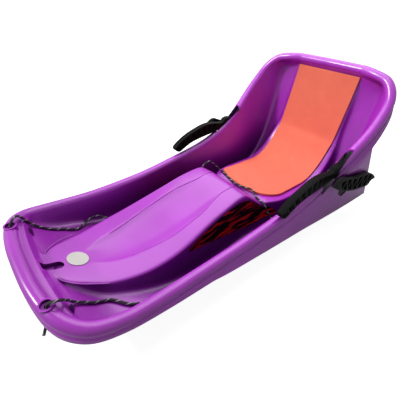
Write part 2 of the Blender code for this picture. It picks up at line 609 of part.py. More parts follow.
def rib_pockets(lever, name, span, tools):
    """Triangular pockets between zigzag ribs, cut from both faces of the handle."""
    top = resample(HANDLE_TOP[:7], RIB_BAYS + 1)
    bottom = resample(HANDLE_BOTTOM[:6], RIB_BAYS + 1)
    for i in range(RIB_BAYS):
        bays = ((top[i], top[i + 1], bottom[i]), (bottom[i], bottom[i + 1], top[i + 1]))
        for j, corners in enumerate(bays):
            corners = np.array(corners)
            middle = corners.mean(axis=0)
            reach = np.linalg.norm(corners - middle, axis=1).min()
            shrunk = middle + (corners - middle) * max(POCKET_LEAST, 1 - RIB_SHARE * RIB / reach)
            near_face = (span[0] - POCKET_PAST, span[0] + RIB_DEPTH)
            far_face = (span[1] - RIB_DEPTH, span[1] + POCKET_PAST)
            for low, high in (near_face, far_face):
                pocket = plate("%s_pocket_%d_%d_%d" % (name, i, j, low), shrunk, (low, high), tools)
                join(lever, pocket, "DIFFERENCE")


def make_levers(parts, tools):
    pin_near, pin_far = pin_span()
    for side, label in ((1, "left"), (-1, "right")):
        name = "brake_lever_" + label
        hub_arc = [(PIVOT_Y + HUB_RADIUS * sin(t), PIVOT_Z + HUB_RADIUS * cos(t))
                   for t in np.linspace(*HUB_ARC, HUB_ARC_POINTS)]
        outline = list(HANDLE_TOP) + hub_arc + list(HANDLE_BOTTOM[::-1])
        span = sorted((side * HANDLE_X[0], side * HANDLE_X[1]))
        lever = plate(name, outline, span, parts, "lever")
        hub = cylinder(name + "_hub", HUB_RADIUS,
                       (span[0], PIVOT_Y, PIVOT_Z), (span[1], PIVOT_Y, PIVOT_Z), tools, 24)
        join(lever, hub, "UNION")
        join(lever, plate(name + "_arm", ARM, span, tools), "UNION")
        across = sorted((side * (HANDLE_X[0] + BRIDGE_IN), side * (CLAW_X[1] - BRIDGE_IN)))
        join(lever, plate(name + "_bridge", BRIDGE, across, tools), "UNION")
        claw = sorted((side * CLAW_X[0], side * CLAW_X[1]))
        join(lever, plate(name + "_claw", CLAW, claw, tools), "UNION")
        bore = cylinder(name + "_bore", PIN_RADIUS + PIN_PLAY, (side * pin_near, PIVOT_Y, PIVOT_Z),
                        (side * pin_far, PIVOT_Y, PIVOT_Z), tools, 16)
        join(lever, bore, "DIFFERENCE")
        rib_pockets(lever, name, span, tools)
        pin = cylinder("brake_pin_" + label, PIN_RADIUS, (side * pin_near, PIVOT_Y, PIVOT_Z),
                       (side * pin_far, PIVOT_Y, PIVOT_Z), parts, 16)
        pin.data.materials.append(material("pin"))
        hang(lever, "brake_pivot_" + label, (side * sum(HANDLE_X) / 2, PIVOT_Y, PIVOT_Z), parts)


def hang(piece, name, place, parts):
    """Parents a moving piece to an empty on its joint's axis."""
    pivot = bpy.data.objects.new(name, None)
    pivot.location = tuple(c * MM for c in place)
    parts.objects.link(pivot)
    bpy.context.view_layer.update()
    piece.parent = pivot
    piece.matrix_parent_inverse = pivot.matrix_world.inverted()


def resample(points, count):
    points = np.array(points, float)
    walked = np.concatenate([[0.0], np.cumsum(np.linalg.norm(np.diff(points, axis=0), axis=1))])
    at = np.linspace(0.0, walked[-1], count)
    return np.stack([np.interp(at, walked, points[:, c]) for c in range(points.shape[1])], axis=1)


def spread(points, faces, thickness, name, parts, key):
    """An open sheet with its thickness behind the side that is seen."""
    sheet = mesh_object(name, points, faces, parts, key)
    depth = sheet.modifiers.new("thickness", "SOLIDIFY")
    depth.thickness = thickness * MM
    depth.offset = -1.0
    depth.use_even_offset = True
    return sheet


def grid_faces(rows, columns, flip=False):
    faces = []
    for r in range(rows - 1):
        for c in range(columns - 1):
            quad = [r * columns + c, r * columns + c + 1, (r + 1) * columns + c + 1, (r + 1) * columns + c]
            faces.append(quad[::-1] if flip else quad)
    return faces


def make_pad(parts):
    """The pad follows the platform and the back panel at a steady gap."""
    seat = np.array([(row[0], row[1]) for row in STATIONS if row[0] >= PAD_FRONT - 1])
    run = np.diff(seat, axis=0)
    run /= np.linalg.norm(run, axis=1, keepdims=True)
    normals = np.stack([-run[:, 1], run[:, 0]], axis=1)
    lift = PAD_GAP + PAD_THICK
    top = [seat[0] + normals[0] * lift]
    for before, after, point in zip(normals, normals[1:], seat[1:]):
        middle = before + after
        middle /= np.linalg.norm(middle)
        top.append(point + middle * lift / float(middle @ after))
    top.append(seat[-1] + normals[-1] * lift)
    top = np.array(top)
    across = np.linspace(-PAD_HALF, PAD_HALF, PAD_COLUMNS + 1)
    rows = []
    (left, left_power), (right, right_power) = PAD_DRAW
    out = np.abs(across / PAD_HALF)
    draw = PAD_FRONT + np.where(across > 0, left * out ** left_power, right * out ** right_power)
    for share in PAD_FRONT_SHARES:
        y = draw + (seat[PAD_FLAT_ROW][0] - draw) * share
        rows.append([(x, b, np.interp(b, top[:, 0], top[:, 1])) for x, b in zip(across, y)])
    rows += [[(x, y, z) for x in across] for y, z in top[PAD_FLAT_ROW:]]
    points = [p for row in rows for p in row]
    spread(points, grid_faces(len(rows), len(across)), PAD_THICK, "seat_pad", parts, "pad")


def wall_x(y, z, rows):
    """Half width of the middle body's side wall at a height, between two stations."""
    sides = [np.interp(-z, -row[4:7, 2], row[4:7, 0]) for row in rows]
    return np.interp(y, [row[0, 1] for row in rows], sides)


def make_films(parts):
    rim = Rim()
    rows = [station_row(rim, station) for station in STATIONS if -215 < station[0] < 190]
    across = (0.0, 0.34, 0.67, 1.0)
    for side, label in ((1, "left"), (-1, "right")):
        points = []
        for y, low, high in DECAL:
            for part in across:
                z = low + (high - low) * part
                points.append((side * (wall_x(y, z, rows) + FILM_GAP + FILM), y, z))
        faces = grid_faces(len(DECAL), len(across), flip=side < 0)
        spread(points, faces, FILM, "hump_decal_" + label, parts, "film")
    slope, height = label_rest()
    normal = np.array([0.0, slope, 1.0]) / np.hypot(slope, 1.0)
    under = np.array([0.0, LABEL_Y, height]) + normal * FILM_GAP
    label = cylinder("nose_label", LABEL_RADIUS, under, under + normal * FILM, parts, 40)
    label.data.materials.append(material("label"))


def label_rest():
    """Slope of the body under the disc, and the height at which a plane of that slope rests on it."""
    line = np.array([(row[0], row[1]) for row in STATIONS])
    y = np.linspace(LABEL_Y - LABEL_RADIUS, LABEL_Y + LABEL_RADIUS, LABEL_READINGS)
    z = np.interp(y, line[:, 0], line[:, 1])
    slope = (z[0] - z[-1]) / (y[-1] - y[0])
    return slope, float((z + slope * (y - LABEL_Y)).max())


def spline(points, count):
    """A smooth curve through every point, with the same number of steps on each stretch."""
    p = np.array(points, float)
    p = np.concatenate([[2 * p[0] - p[1]], p, [2 * p[-1] - p[-2]]])
    u = np.linspace(0, len(p) - 3 - 1e-9, count)
    i = u.astype(int)
    t = (u - i)[:, None]
    a, b, c, d = p[i], p[i + 1], p[i + 2], p[i + 3]
    return 0.5 * (
        2 * b + (c - a) * t + (2 * a - 5 * b + 4 * c - d) * t ** 2 + (3 * b - a - 3 * c + d) * t ** 3
    )


def make_rope(parts, tools):
    ends = [(x, y, BOSS_FOOT) for x, y in ((-BOSS_X, BOSS_Y), (BOSS_X, BOSS_Y))]
    path = np.concatenate([[ends[0]], spline(ROPE_ROUTE, ROPE_POINTS), [ends[1]]])
    curve = bpy.data.curves.new("tow_rope", "CURVE")
    curve.dimensions = "3D"
    curve.bevel_depth = ROPE / 2 * MM
    curve.bevel_resolution = 2
    curve.use_fill_caps = True
    line = curve.splines.new("POLY")
    line.points.add(len(path) - 1)
    for point, place in zip(line.points, path):
        point.co = (*(place * MM), 1.0)
    rope = bpy.data.objects.new("tow_rope", curve)
    parts.objects.link(rope)
    curve.materials.append(material("rope"))
    for side, label in ((1, "left"), (-1, "right")):
        centre = np.array([side * BOSS_X, BOSS_Y, BOSS_FOOT - FIT - KNOT_RADIUS])
        bpy.ops.mesh.primitive_uv_sphere_add(segments=16, ring_count=10, radius=KNOT_RADIUS * MM)
        knot = bpy.context.active_object
        knot.name = "rope_knot_" + label
        knot.location = tuple(centre * MM)
        for old in list(knot.users_collection):
            old.objects.unlink(knot)
        parts.objects.link(knot)
        knot.data.materials.append(material("rope"))
        end = np.array(TAIL_END) * (side, 1, 1)
        join(knot, cylinder("tail_" + label, ROPE / 2, centre, end, tools, 10), "UNION")


def main():
    clear_scene()
    parts = collection("bobsled")
    tools = collection("cutters", hidden=True)
    make_hull(parts, tools)
    make_levers(parts, tools)
    make_pad(parts)
    make_films(parts)
    make_rope(parts, tools)


main()
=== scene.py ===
"""Dresses the bobsled: a glossy moulded hull, bevelled brake levers, foam seat pad, film panels and braided rope.

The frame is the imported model, in metres, with +Z up, the nose towards -Y and the rider's left at +X.
Tables of sizes are in millimetres and follow the model's own.
"""

import json
from math import cos, pi, radians, sin

import bmesh
import bpy
import numpy as np
from bpy.props import FloatProperty, FloatVectorProperty, IntProperty, PointerProperty, StringProperty
from mathutils import Matrix, Vector

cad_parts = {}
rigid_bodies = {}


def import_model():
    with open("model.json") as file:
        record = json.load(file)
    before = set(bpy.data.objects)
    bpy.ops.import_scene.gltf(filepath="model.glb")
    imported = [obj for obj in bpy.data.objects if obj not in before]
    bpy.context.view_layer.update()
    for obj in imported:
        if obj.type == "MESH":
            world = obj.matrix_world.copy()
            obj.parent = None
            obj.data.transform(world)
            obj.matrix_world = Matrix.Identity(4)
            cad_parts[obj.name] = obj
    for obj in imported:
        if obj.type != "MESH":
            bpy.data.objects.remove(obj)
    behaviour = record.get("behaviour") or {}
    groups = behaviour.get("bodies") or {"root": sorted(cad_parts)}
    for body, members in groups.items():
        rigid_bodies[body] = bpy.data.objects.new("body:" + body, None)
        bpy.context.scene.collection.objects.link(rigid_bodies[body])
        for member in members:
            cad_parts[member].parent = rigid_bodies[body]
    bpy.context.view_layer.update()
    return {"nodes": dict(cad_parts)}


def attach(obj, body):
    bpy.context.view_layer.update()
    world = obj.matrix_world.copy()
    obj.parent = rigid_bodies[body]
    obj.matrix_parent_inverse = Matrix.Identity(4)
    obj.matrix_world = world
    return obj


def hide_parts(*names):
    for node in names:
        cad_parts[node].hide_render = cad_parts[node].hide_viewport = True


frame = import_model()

bl_info = {
    "name": "Bobsled",
    "version": (1, 0, 0),
    "blender": (4, 5, 0),
    "location": "View3D > Sidebar > Bobsled",
    "description": "Builds a child's bobsled with brake levers, a seat pad and a tow rope",
    "category": "Add Mesh",
}

MM = 0.001
SIDES = ((1, "left"), (-1, "right"))

# Stage, in metres: the floor, and a painted shadow on the ground between the aprons as middle and half size along
# two axes, with its edge. Then the painted shadow's and the floor's tones, and how bright floor and world are to the
# eye and in reflections
FLOOR_HALF, FLOOR_DROP = 60.0, 0.0005
PAINTED_SHADOW_PATCH, PAINTED_SHADOW_EDGE = (("X", 0.0, 0.19), ("Y", 0.32, 0.15)), 0.97
PAINTED_SHADOW_TONE, FLOOR_TONE = 0.004, 0.46
FLOOR_SEEN, FLOOR_MIRRORED = 0.92, 0.2
WORLD_FILL, WORLD_MIRRORED = 0.14, 0.9
# Name, kind, place, energy and settings of each lamp
LAMPS = (
    ("low sun", "SUN", (-0.5, -0.62, 0.6), 1.85, {"angle": radians(8.0)}),
    ("high softbox", "AREA", (-0.4, 0.4, 1.25), 13.5, {"shape": "DISK", "size": 1.5}),
)

# Surface patterns, counted per metre. Real peel, grain and cells are finer than the render can show,
# so they are drawn one to each 4.2 mm, 1.1 mm and 1.25 mm. The turned rings come out 0.75 mm apart
CLOUDS, MOTTLE, STAINS = 9.0, 26.0, 60.0
PEEL, GRAIN, CELLS, RINGS = 240.0, 900.0, 800.0, 420.0
YARNS, YARN_LEAN = 250.0, 3.0
# Flame tongues of about 83 by 9 mm: count along and up, lean in degrees, and how far they bend
TONGUES, TONGUE_LEAN, TONGUE_BEND = (12.0, 110.0, 1.0), -24.0, 0.035
# Painted shade in the hull's hollows: how far off a wall the occlusion reaches, in metres, and the painted shade's
# tones from deep hollow to open face
PAINTED_SHADE_REACH = 0.15
PAINTED_HOLLOW_SHADE = ((0.2, (0.14, 0.02, 0.16, 1.0)), (0.5, (0.44, 0.22, 0.46, 1.0)), (0.78, (1.0, 1.0, 1.0, 1.0)))

# Moulding
WALL = 3.5
FLOOR = 3.1
ROLL_WIDTH, ROLL_HEIGHT = 26.5, 12.5

# Rolled rim: inner edge from the middle of the nose round one side to the middle of the back.
# Columns: x, y, z of the inner edge, the way across the roll (x, y, z), the flange's drop under the
# roll and its flare outside it
RIM = (
    (0.0, -449.5, 131.0, 0.0, -1.0, 0.0, 26.0, 0.0),
    (40.0, -449.0, 130.5, 0.0, -1.0, 0.0, 26.0, 0.0),
    (80.0, -446.0, 129.0, 0.08, -1.0, 0.0, 27.0, 0.0),
    (115.0, -440.0, 126.5, 0.3, -0.95, 0.0, 27.0, 0.0),
    (138.5, -431.0, 122.0, 0.62, -0.78, 0.0, 26.0, 0.0),
    (165.5, -399.5, 108.0, 0.94, -0.34, 0.0, 19.0, 0.0),
    (173.0, -337.5, 95.5, 1.0, -0.02, 0.0, 14.0, 2.0),
    (171.5, -242.0, 89.5, 1.0, 0.01, 0.0, 17.5, 5.0),
    (172.5, -126.5, 91.5, 1.0, -0.02, 0.0, 25.0, 6.0),
    (176.0, -6.5, 103.0, 1.0, -0.03, 0.0, 32.0, 6.0),
    (179.0, 105.5, 119.0, 1.0, -0.02, 0.0, 36.0, 6.0),
    (180.0, 203.0, 149.5, 1.0, -0.05, 0.02, 43.0, 6.0),
    (189.0, 285.5, 202.0, 1.0, -0.05, 0.08, 40.0, 6.0),
    (198.0, 353.0, 260.5, 0.97, 0.05, 0.2, 34.0, 6.0),
    (194.0, 398.5, 312.5, 0.95, 0.25, 0.12, 30.0, 4.0),
    (165.0, 421.0, 350.0, 0.6, 0.55, 0.35, 30.0, 3.0),
    (122.0, 429.0, 358.0, 0.15, 0.66, 0.62, 30.0, 3.0),
    (98.0, 438.0, 357.5, 0.05, 0.58, 0.81, 30.0, 3.0),
    (0.0, 444.0, 357.0, 0.0, 0.55, 0.83, 30.0, 3.0),
)
NOSE_CORNER, BACK_CORNER = 4, 15
CREASE_DROP, CREASE_PART, CREASE_IN = 12.0, 0.42, 2.0
STRIP_DROP, STRIP_PART, STRIP_FLARE = 15.0, 0.56, 0.3
# How crisp the crease, the strip's middle and lower edge and the shelf's two lines stay, from 0 to 1
CRISP = (0.75, 0.45, 1.0, 0.7, 0.8)

# Deep side apron under the flange: where it hangs from the rim, its lower edge and its rearward rake
APRON_Y = (-160.0, 344.0)
APRON_EDGE = (
    (-160.0, 206.5, 66.5),
    (0.0, 212.5, 54.5),
    (100.0, 216.5, 49.0),
    (230.0, 219.5, 34.5),
    (370.0, 222.0, 20.0),
    (478.0, 223.5, 12.0),
)
RAKE_FROM, RAKE_LENGTH, RAKE_POWER = 100.0, 136.0, 1.6

# Nose shelf behind the roll: the top and the bottom of its step, each (y, y bend, z, z fall)
SHELF_TOP = (-437.5, 10.5, 127.0, 8.0)
SHELF_FOOT = (-428.5, 8.5, 108.0, 11.0)
SHELF_BEND_X, SHELF_HALF = 145.0, 135.0
SHELF_SIDE_Y = (-426.5, -422.5, -418.0)
NOSE_COLUMNS = (
    0.0, 0.04, 0.08, 0.11, 0.14, 0.17, 0.22, 0.27, 0.33, 0.4, 0.47, 0.55, 0.64, 0.74, 0.84, 0.93, 1.0,
)

# Stations along the hull. Columns: y and z of the middle body on the centre line, z of its
# shoulder, its half width, depth of the dished top, y and z of the leg channel, y of the rim
STATIONS = (
    (-421.0, 103.5, 103.0, 30.0, 0.0, -421.0, 99.5, -413.0),
    (-412.0, 100.5, 100.0, 48.0, 0.0, -412.0, 91.5, -405.0),
    (-400.0, 96.5, 95.5, 58.5, 0.0, -400.0, 80.0, -394.0),
    (-386.0, 91.5, 90.5, 66.0, 0.0, -386.0, 68.0, -382.0),
    (-370.0, 86.5, 84.5, 74.0, 0.0, -370.0, 58.0, -368.0),
    (-354.0, 81.0, 79.0, 81.5, 0.0, -354.0, 51.0, -353.0),
    (-338.0, 76.0, 73.5, 87.5, 0.5, -338.0, 46.5, -337.5),
    (-310.0, 74.5, 70.0, 96.0, 6.0, -310.0, 38.0, -310.0),
    (-278.0, 73.0, 69.0, 103.0, 7.0, -278.0, 28.5, -278.0),
    (-246.0, 75.0, 70.5, 106.5, 7.5, -246.0, 21.0, -246.0),
    (-212.0, 79.5, 74.0, 108.0, 8.0, -212.0, 14.5, -212.0),
    (-178.0, 85.5, 80.0, 107.0, 8.0, -178.0, 9.5, -178.0),
    (-145.0, 93.5, 89.0, 104.0, 7.5, -145.0, 6.5, -145.0),
    (-112.0, 101.5, 98.5, 99.5, 7.0, -112.0, 4.5, -112.0),
    (-80.0, 109.5, 107.0, 97.0, 6.0, -80.0, FLOOR, -80.0),
    (-50.0, 117.0, 114.5, 95.5, 4.0, -50.0, FLOOR, -50.0),
    (-22.0, 123.5, 119.5, 93.5, 2.0, -22.0, FLOOR, -22.0),
    (2.0, 127.0, 122.5, 91.5, 0.0, 2.0, FLOOR, 2.0),
    (20.0, 128.0, 123.0, 91.0, 0.0, 20.0, FLOOR, 20.0),
    (33.0, 125.0, 120.0, 91.5, 0.0, 33.0, FLOOR, 33.0),
    (47.0, 113.5, 110.0, 92.5, 0.0, 47.0, FLOOR, 47.0),
    (62.0, 97.5, 96.0, 94.5, 0.0, 62.0, FLOOR, 62.0),
    (77.0, 84.0, 83.5, 96.0, 0.0, 77.0, FLOOR, 77.0),
    (89.0, 72.0, 72.0, 97.0, 0.0, 89.0, FLOOR, 89.0),
    (98.0, 64.5, 64.5, 97.5, 0.0, 98.0, FLOOR, 97.0),
    (104.0, 65.0, 65.0, 98.5, 0.0, 104.0, FLOOR, 103.0),
    (110.0, 70.0, 70.0, 101.0, 0.0, 110.0, FLOOR, 109.0),
    (126.0, 68.5, 68.5, 108.0, 0.0, 126.0, FLOOR, 124.0),
    (152.0, 66.0, 66.0, 117.0, 0.0, 152.0, FLOOR, 148.0),
    (186.0, 63.5, 63.5, 120.0, 0.0, 186.0, FLOOR, 180.0),
    (220.0, 62.0, 62.0, 120.0, 0.0, 220.0, FLOOR, 212.0),
    (254.0, 61.0, 61.0, 120.0, 0.0, 254.0, 4.0, 242.0),
    (285.0, 60.5, 60.5, 120.0, 0.0, 285.0, 5.0, 268.0),
    (312.0, 66.0, 66.0, 120.0, 0.0, 329.5, 15.5, 287.0),
    (338.0, 79.0, 79.0, 120.0, 0.0, 363.0, 40.5, 305.0),
    (361.0, 99.0, 99.0, 119.5, 0.0, 386.5, 73.0, 324.0),
    (380.0, 121.0, 121.0, 118.0, 0.0, 402.0, 105.0, 344.0),
    (396.0, 147.0, 147.0, 114.0, 0.0, 412.5, 137.5, 361.0),
    (409.0, 169.5, 169.5, 110.0, 0.0, 421.0, 167.0, 376.0),
    (419.0, 213.0, 213.0, 105.0, 0.0, 432.0, 210.0, 391.0),
    (429.0, 258.0, 258.0, 104.5, 0.0, 441.0, 255.5, 402.0),
    (438.5, 303.0, 303.0, 103.5, 0.0, 447.0, 301.0, 411.0),
    (446.5, 350.0, 350.0, 101.0, 0.0, 448.0, 347.5, 417.5),
)
# Half width of the dish in the body's top, and its section: share of the width, share of the depth
DISH_EDGE = (
    (-425.0, 12.0), (-350.0, 18.0), (-335.0, 25.0), (-310.0, 38.0), (-282.0, 43.0), (-255.0, 47.0),
    (-163.0, 58.0), (-87.0, 56.0), (-48.0, 48.0), (-20.0, 42.0), (100.0, 42.0), (447.0, 50.0),
)
DISH_SECTION = ((0.0, 1.0), (0.45, 0.95), (0.75, 0.78), (0.93, 0.42), (1.06, 0.06), (1.22, 0.0))
DISH_MORE = 1.3
# Bead along both edges of the dish: its stretch, radius and how far its middle lies under the skin
BEAD_SPAN, BEAD_RADIUS, BEAD_SUNK = (-330.0, 60.0), 2.4, 1.6
SHOULDER, DRAFT, RIM_TUCK, POCKET_HALF = 7.0, 0.1, 6.0, 165.0
FLOOR_CORNER, WALL_FOOT = 5.0, 8.0

# Tow rope, its bosses on the nose roll and its stop knots
HOLE = 8.4
BOSS_X, BOSS_Y, BOSS_TOP, BOSS_FOOT = 113.4, -451.5, 141.0, 121.0
BOSS_RADIUS, DISH_RADIUS, DISH_DEPTH, CUT_PAST = 12.5, 9.5, 5.0, 10.0
KNOT_RADIUS, KNOT_GAP, KNOT_TURN, KNOT_RISE = 8.0, 0.3, 1.75, 2.6

# Raised lip round the tip of the middle body, from the far side to the near one
LIP = (
    (-84.0, -352.0, 77.5), (-75.5, -376.0, 86.0), (-66.5, -391.0, 91.0), (-56.5, -404.0, 95.5), (-42.5, -416.5, 99.6),
    (-27.0, -423.0, 101.8), (-10.0, -425.0, 102.6), (19.0, -424.0, 102.0), (42.0, -416.5, 99.0), (58.0, -402.0, 94.6),
    (69.0, -386.0, 89.4), (78.0, -366.0, 82.6), (86.5, -345.0, 75.5),
)
LIP_RADIUS = 1.7

# Recess in the nose shelf and in the foot of the body, seen from the side (y, z)
SLOT_X, SLOT_HALF, SLOT_WALL = 5.0, 10.0, 5.0
SLOT_FRONT, SLOT_BEND, SLOT_FLOOR = -434.0, -407.0, (98.5, 89.0)
SLOT_CUP = (
    (-444.0, 124.5), (-438.5, 124.0), (-437.0, 122.5), (-429.5, 106.0), (-420.0, 100.8), (-400.0, 94.0),
    (-389.0, 90.3), (-389.0, 83.5), (-411.0, 83.5), (-444.0, 93.0),
)

# Brake levers: pivot, hub, the planes of the handle and of the claw, and the hull's bosses
PIVOT_Y, PIVOT_Z = 267.0, 153.0
HUB_RADIUS, BORE_RADIUS = 11.0, 4.15
HANDLE_X = (191.0, 207.5)
CLAW_X = (227.5, 238.5)
SIDE_PLAY = 0.5
PIVOT_BOSS_X, BORE_INSET = (183.5, 217.0), 1.2
BRIDGE_IN = 3.5
HUB_ARC = (0.3, 2.6)
HANDLE_TOP = (
    (12.0, 136.0), (25.5, 149.5), (57.0, 166.5), (91.5, 178.0), (136.0, 187.0), (176.0, 184.0),
    (190.0, 180.0), (210.0, 179.0), (220.0, 188.0), (238.0, 190.0), (253.0, 186.0),
)
HANDLE_BOTTOM = (
    (30.0, 122.6), (47.0, 131.2), (76.5, 143.2), (111.5, 149.0), (141.0, 152.0), (176.0, 155.0),
    (200.0, 157.0), (228.0, 160.0), (242.0, 148.0),
)
ARM = ((262.0, 165.0), (279.0, 156.0), (327.0, 136.0), (329.0, 113.0), (289.0, 113.0), (257.0, 147.0))
BRIDGE = ((293.0, 135.0), (325.0, 131.0), (327.0, 117.0), (295.0, 116.0))
CLAW = (
    (173.0, 164.0), (188.5, 175.5), (208.0, 180.0), (239.0, 167.5), (287.0, 151.5), (325.0, 144.0),
    (375.0, 133.0), (416.0, 115.0), (450.0, 90.0), (426.0, 91.0), (409.0, 79.0), (369.0, 88.0),
    (297.0, 107.5), (217.0, 139.0),
)
# Ribs between triangular pockets, with the bays along handle and claw, and the grip end's rounding
RIB, RIB_DEPTH, RIB_BAYS, CLAW_BAYS = 3.0, 5.0, 8, 6
RIB_SHARE, POCKET_LEAST, POCKET_PAST, TIP_REACH = 1.6, 0.3, 1.0, 9.0
ROLL_SLOT_PLAY, WINDOW_PLAY = 1.2, 4.0
ROLL_SLOT_Y, ROLL_SLOT_Z = (183.0, 286.0), (120.0, 240.0)
APRON_WINDOW = (
    (259.0, 108.0), (272.0, 127.5), (292.0, 140.0), (331.0, 135.0), (331.0, 111.0), (318.0, 97.0),
    (302.0, 86.0), (287.0, 81.0), (262.0, 97.0),
)

# Seat pad
PAD_HALF, PAD_GAP = 98.0, 0.5
PAD_FRONT, PAD_STRAIGHT = 110.5, 10.0
PAD_COLUMNS, PAD_FRONT_ROWS = 57, 12
PAD_CORNERS, CORNER_ROUND = ((68.0, 2.9), (30.0, 2.2)), 0.6

# Film panels on the body's side walls (y, lower z, upper z) and the blank disc on its front
FILM, FILM_GAP = 0.5, 0.6
DECAL = (
    (-168.0, 65.0, 69.0), (-145.0, 61.0, 79.0), (-112.0, 53.5, 88.0), (-80.0, 47.5, 97.0),
    (-50.0, 42.0, 105.0), (-22.0, 36.5, 109.0), (2.0, 31.0, 110.0), (20.0, 28.0, 109.0),
    (33.0, 26.0, 106.0), (47.0, 24.5, 99.0), (62.0, 23.5, 87.0), (77.0, 23.0, 75.0),
    (89.0, 22.5, 64.0), (98.0, 23.0, 56.0), (104.0, 23.5, 56.0), (110.0, 25.0, 57.0),
    (126.0, 28.5, 48.0), (140.0, 32.5, 36.0),
)
DECAL_BODY, DECAL_LINES, DECAL_ROWS = (-215.0, 190.0), 90, 15
LABEL_Y, LABEL_RADIUS, LABEL_SLOPE = -370.0, 21.0, 0.33

# Tow rope, from the far nose hole along both leg channels to the near one
ROPE_ROUTE = (
    (-113.4, -451.5, 136.0), (-115.0, -449.5, 143.0), (-121.0, -442.0, 147.5), (-130.0, -434.0, 145.5),
    (-137.0, -427.0, 134.0), (-142.0, -419.5, 115.0), (-144.5, -410.0, 98.5), (-144.5, -399.0, 85.5),
    (-144.0, -386.0, 73.5), (-143.5, -370.0, 63.0), (-142.0, -354.0, 56.0), (-136.0, -339.0, 51.5),
    (-134.0, -325.0, 47.0), (-144.0, -309.0, 44.0), (-150.0, -297.0, 46.0), (-151.5, -282.0, 49.0),
    (-150.0, -267.0, 47.5), (-145.0, -255.0, 40.0), (-139.0, -240.0, 27.0), (-136.0, -218.0, 20.0),
    (-136.0, -180.0, 14.0), (-140.0, -135.0, 10.0), (-142.0, -85.0, 7.5), (-140.0, -35.0, 6.5),
    (-137.0, 0.0, 9.5), (-130.0, 22.0, 32.0), (-119.0, 38.0, 70.0), (-110.0, 49.0, 97.0),
    (-105.5, 60.0, 110.5), (-104.0, 73.0, 116.5), (-102.5, 86.0, 110.0), (-100.0, 99.0, 97.0),
    (-97.0, 111.0, 83.0), (-91.0, 120.0, 74.5), (-76.0, 119.0, 72.5), (-54.0, 113.0, 72.8),
    (-35.0, 108.0, 72.5), (-14.0, 105.5, 72.5), (6.0, 105.5, 74.0), (24.0, 107.5, 77.5),
    (41.0, 111.0, 79.5), (54.0, 110.5, 76.5), (66.0, 106.0, 71.5), (80.0, 102.5, 68.2),
    (93.0, 101.5, 68.4), (101.5, 101.5, 66.5), (106.0, 102.5, 58.0), (112.0, 107.0, 43.0),
    (119.0, 114.0, 29.0), (127.0, 121.0, 14.5), (134.5, 120.0, 7.0), (140.0, 105.0, 6.5),
    (142.5, 60.0, 6.5), (142.0, 5.0, 6.5), (141.0, -50.0, 6.5), (141.5, -110.0, 8.5),
    (143.0, -165.0, 12.5), (144.0, -215.0, 19.5), (144.0, -262.0, 28.5), (142.0, -300.0, 39.5),
    (137.0, -321.0, 45.5), (128.0, -334.0, 49.5), (116.0, -344.5, 53.0), (106.5, -355.5, 56.5),
    (104.5, -369.0, 62.5), (104.5, -385.0, 73.0), (103.0, -399.0, 85.5), (104.0, -411.0, 98.0),
    (107.0, -419.0, 113.5), (114.0, -425.0, 129.0), (120.5, -431.5, 142.5), (122.0, -439.5, 147.5),
    (118.0, -447.0, 145.5), (114.0, -451.0, 136.0),
)
TAIL_END = (117.0, -472.0, 80.0)


# Properties


class HullLook(bpy.types.PropertyGroup):
    colour: StringProperty(name="Colour", description="Moulded plastic, sRGB hex", default="bc35d2")
    levels: IntProperty(name="Smoothing", description="Subdivision steps of the moulding", default=2, min=0, max=3)
    roll_parts: IntProperty(name="Roll steps", description="Steps across the rolled rim", default=8, min=4, max=16)


class PadLook(bpy.types.PropertyGroup):
    colour: StringProperty(name="Colour", description="Foam of the seat pad, sRGB hex", default="ff7a5c")
    thickness: FloatProperty(
        name="Thickness", description="Foam thickness", default=0.0055, min=0.002, max=0.03, unit="LENGTH")
    round_over: FloatProperty(
        name="Edge radius", description="Softened cut edge", default=0.0016, min=0.0, max=0.01, unit="LENGTH")


class LeverLook(bpy.types.PropertyGroup):
    colour: StringProperty(name="Colour", description="Lever plastic, sRGB hex", default="0c0d0d")
    round_over: FloatProperty(
        name="Edge radius", description="Rounding along the moulded edges", default=0.0014,
        min=0.0, max=0.004, unit="LENGTH")


class RopeLook(bpy.types.PropertyGroup):
    diameter: FloatProperty(
        name="Diameter", description="Braided cord diameter", default=0.005, min=0.003, max=0.01, unit="LENGTH")
    colour: StringProperty(name="Colour", description="Cover yarn, sRGB hex", default="1c1a1d")
    fleck: StringProperty(name="Fleck colour", description="Light yarn in the cover, sRGB hex", default="b9b3ba")
    fleck_pitch: FloatProperty(
        name="Fleck pitch", description="Length of cord between flecks", default=0.021,
        min=0.005, max=0.05, unit="LENGTH")


class PanelLook(bpy.types.PropertyGroup):
    ground: StringProperty(
        name="Film ground", description="Dark ground of the side panels, sRGB hex", default="050304")
    flame: StringProperty(name="Flame colour", description="Flame shapes, sRGB hex", default="a01018")
    flame_tip: StringProperty(name="Flame tip", description="Lightest flame shade, sRGB hex", default="e03018")
    disc: StringProperty(name="Disc colour", description="Plain nose disc, sRGB hex", default="e2e1da")


class StageLook(bpy.types.PropertyGroup):
    lens: FloatProperty(name="Lens", description="Focal length", default=25.635, min=10, max=120, unit="CAMERA")
    place: FloatVectorProperty(
        name="Camera place", description="Where the camera stands", default=(0.44863, -0.44318, 0.53885),
        subtype="TRANSLATION", unit="LENGTH")
    azimuth: FloatProperty(
        name="Azimuth", description="Turn of the view from +Y towards -X", default=radians(48.46),
        subtype="ANGLE", unit="ROTATION")
    elevation: FloatProperty(
        name="Elevation", description="Downward tilt of the view", default=radians(36.962),
        subtype="ANGLE", unit="ROTATION")
    roll: FloatProperty(
        name="Roll", description="Lean of the camera", default=radians(2.586), subtype="ANGLE", unit="ROTATION")


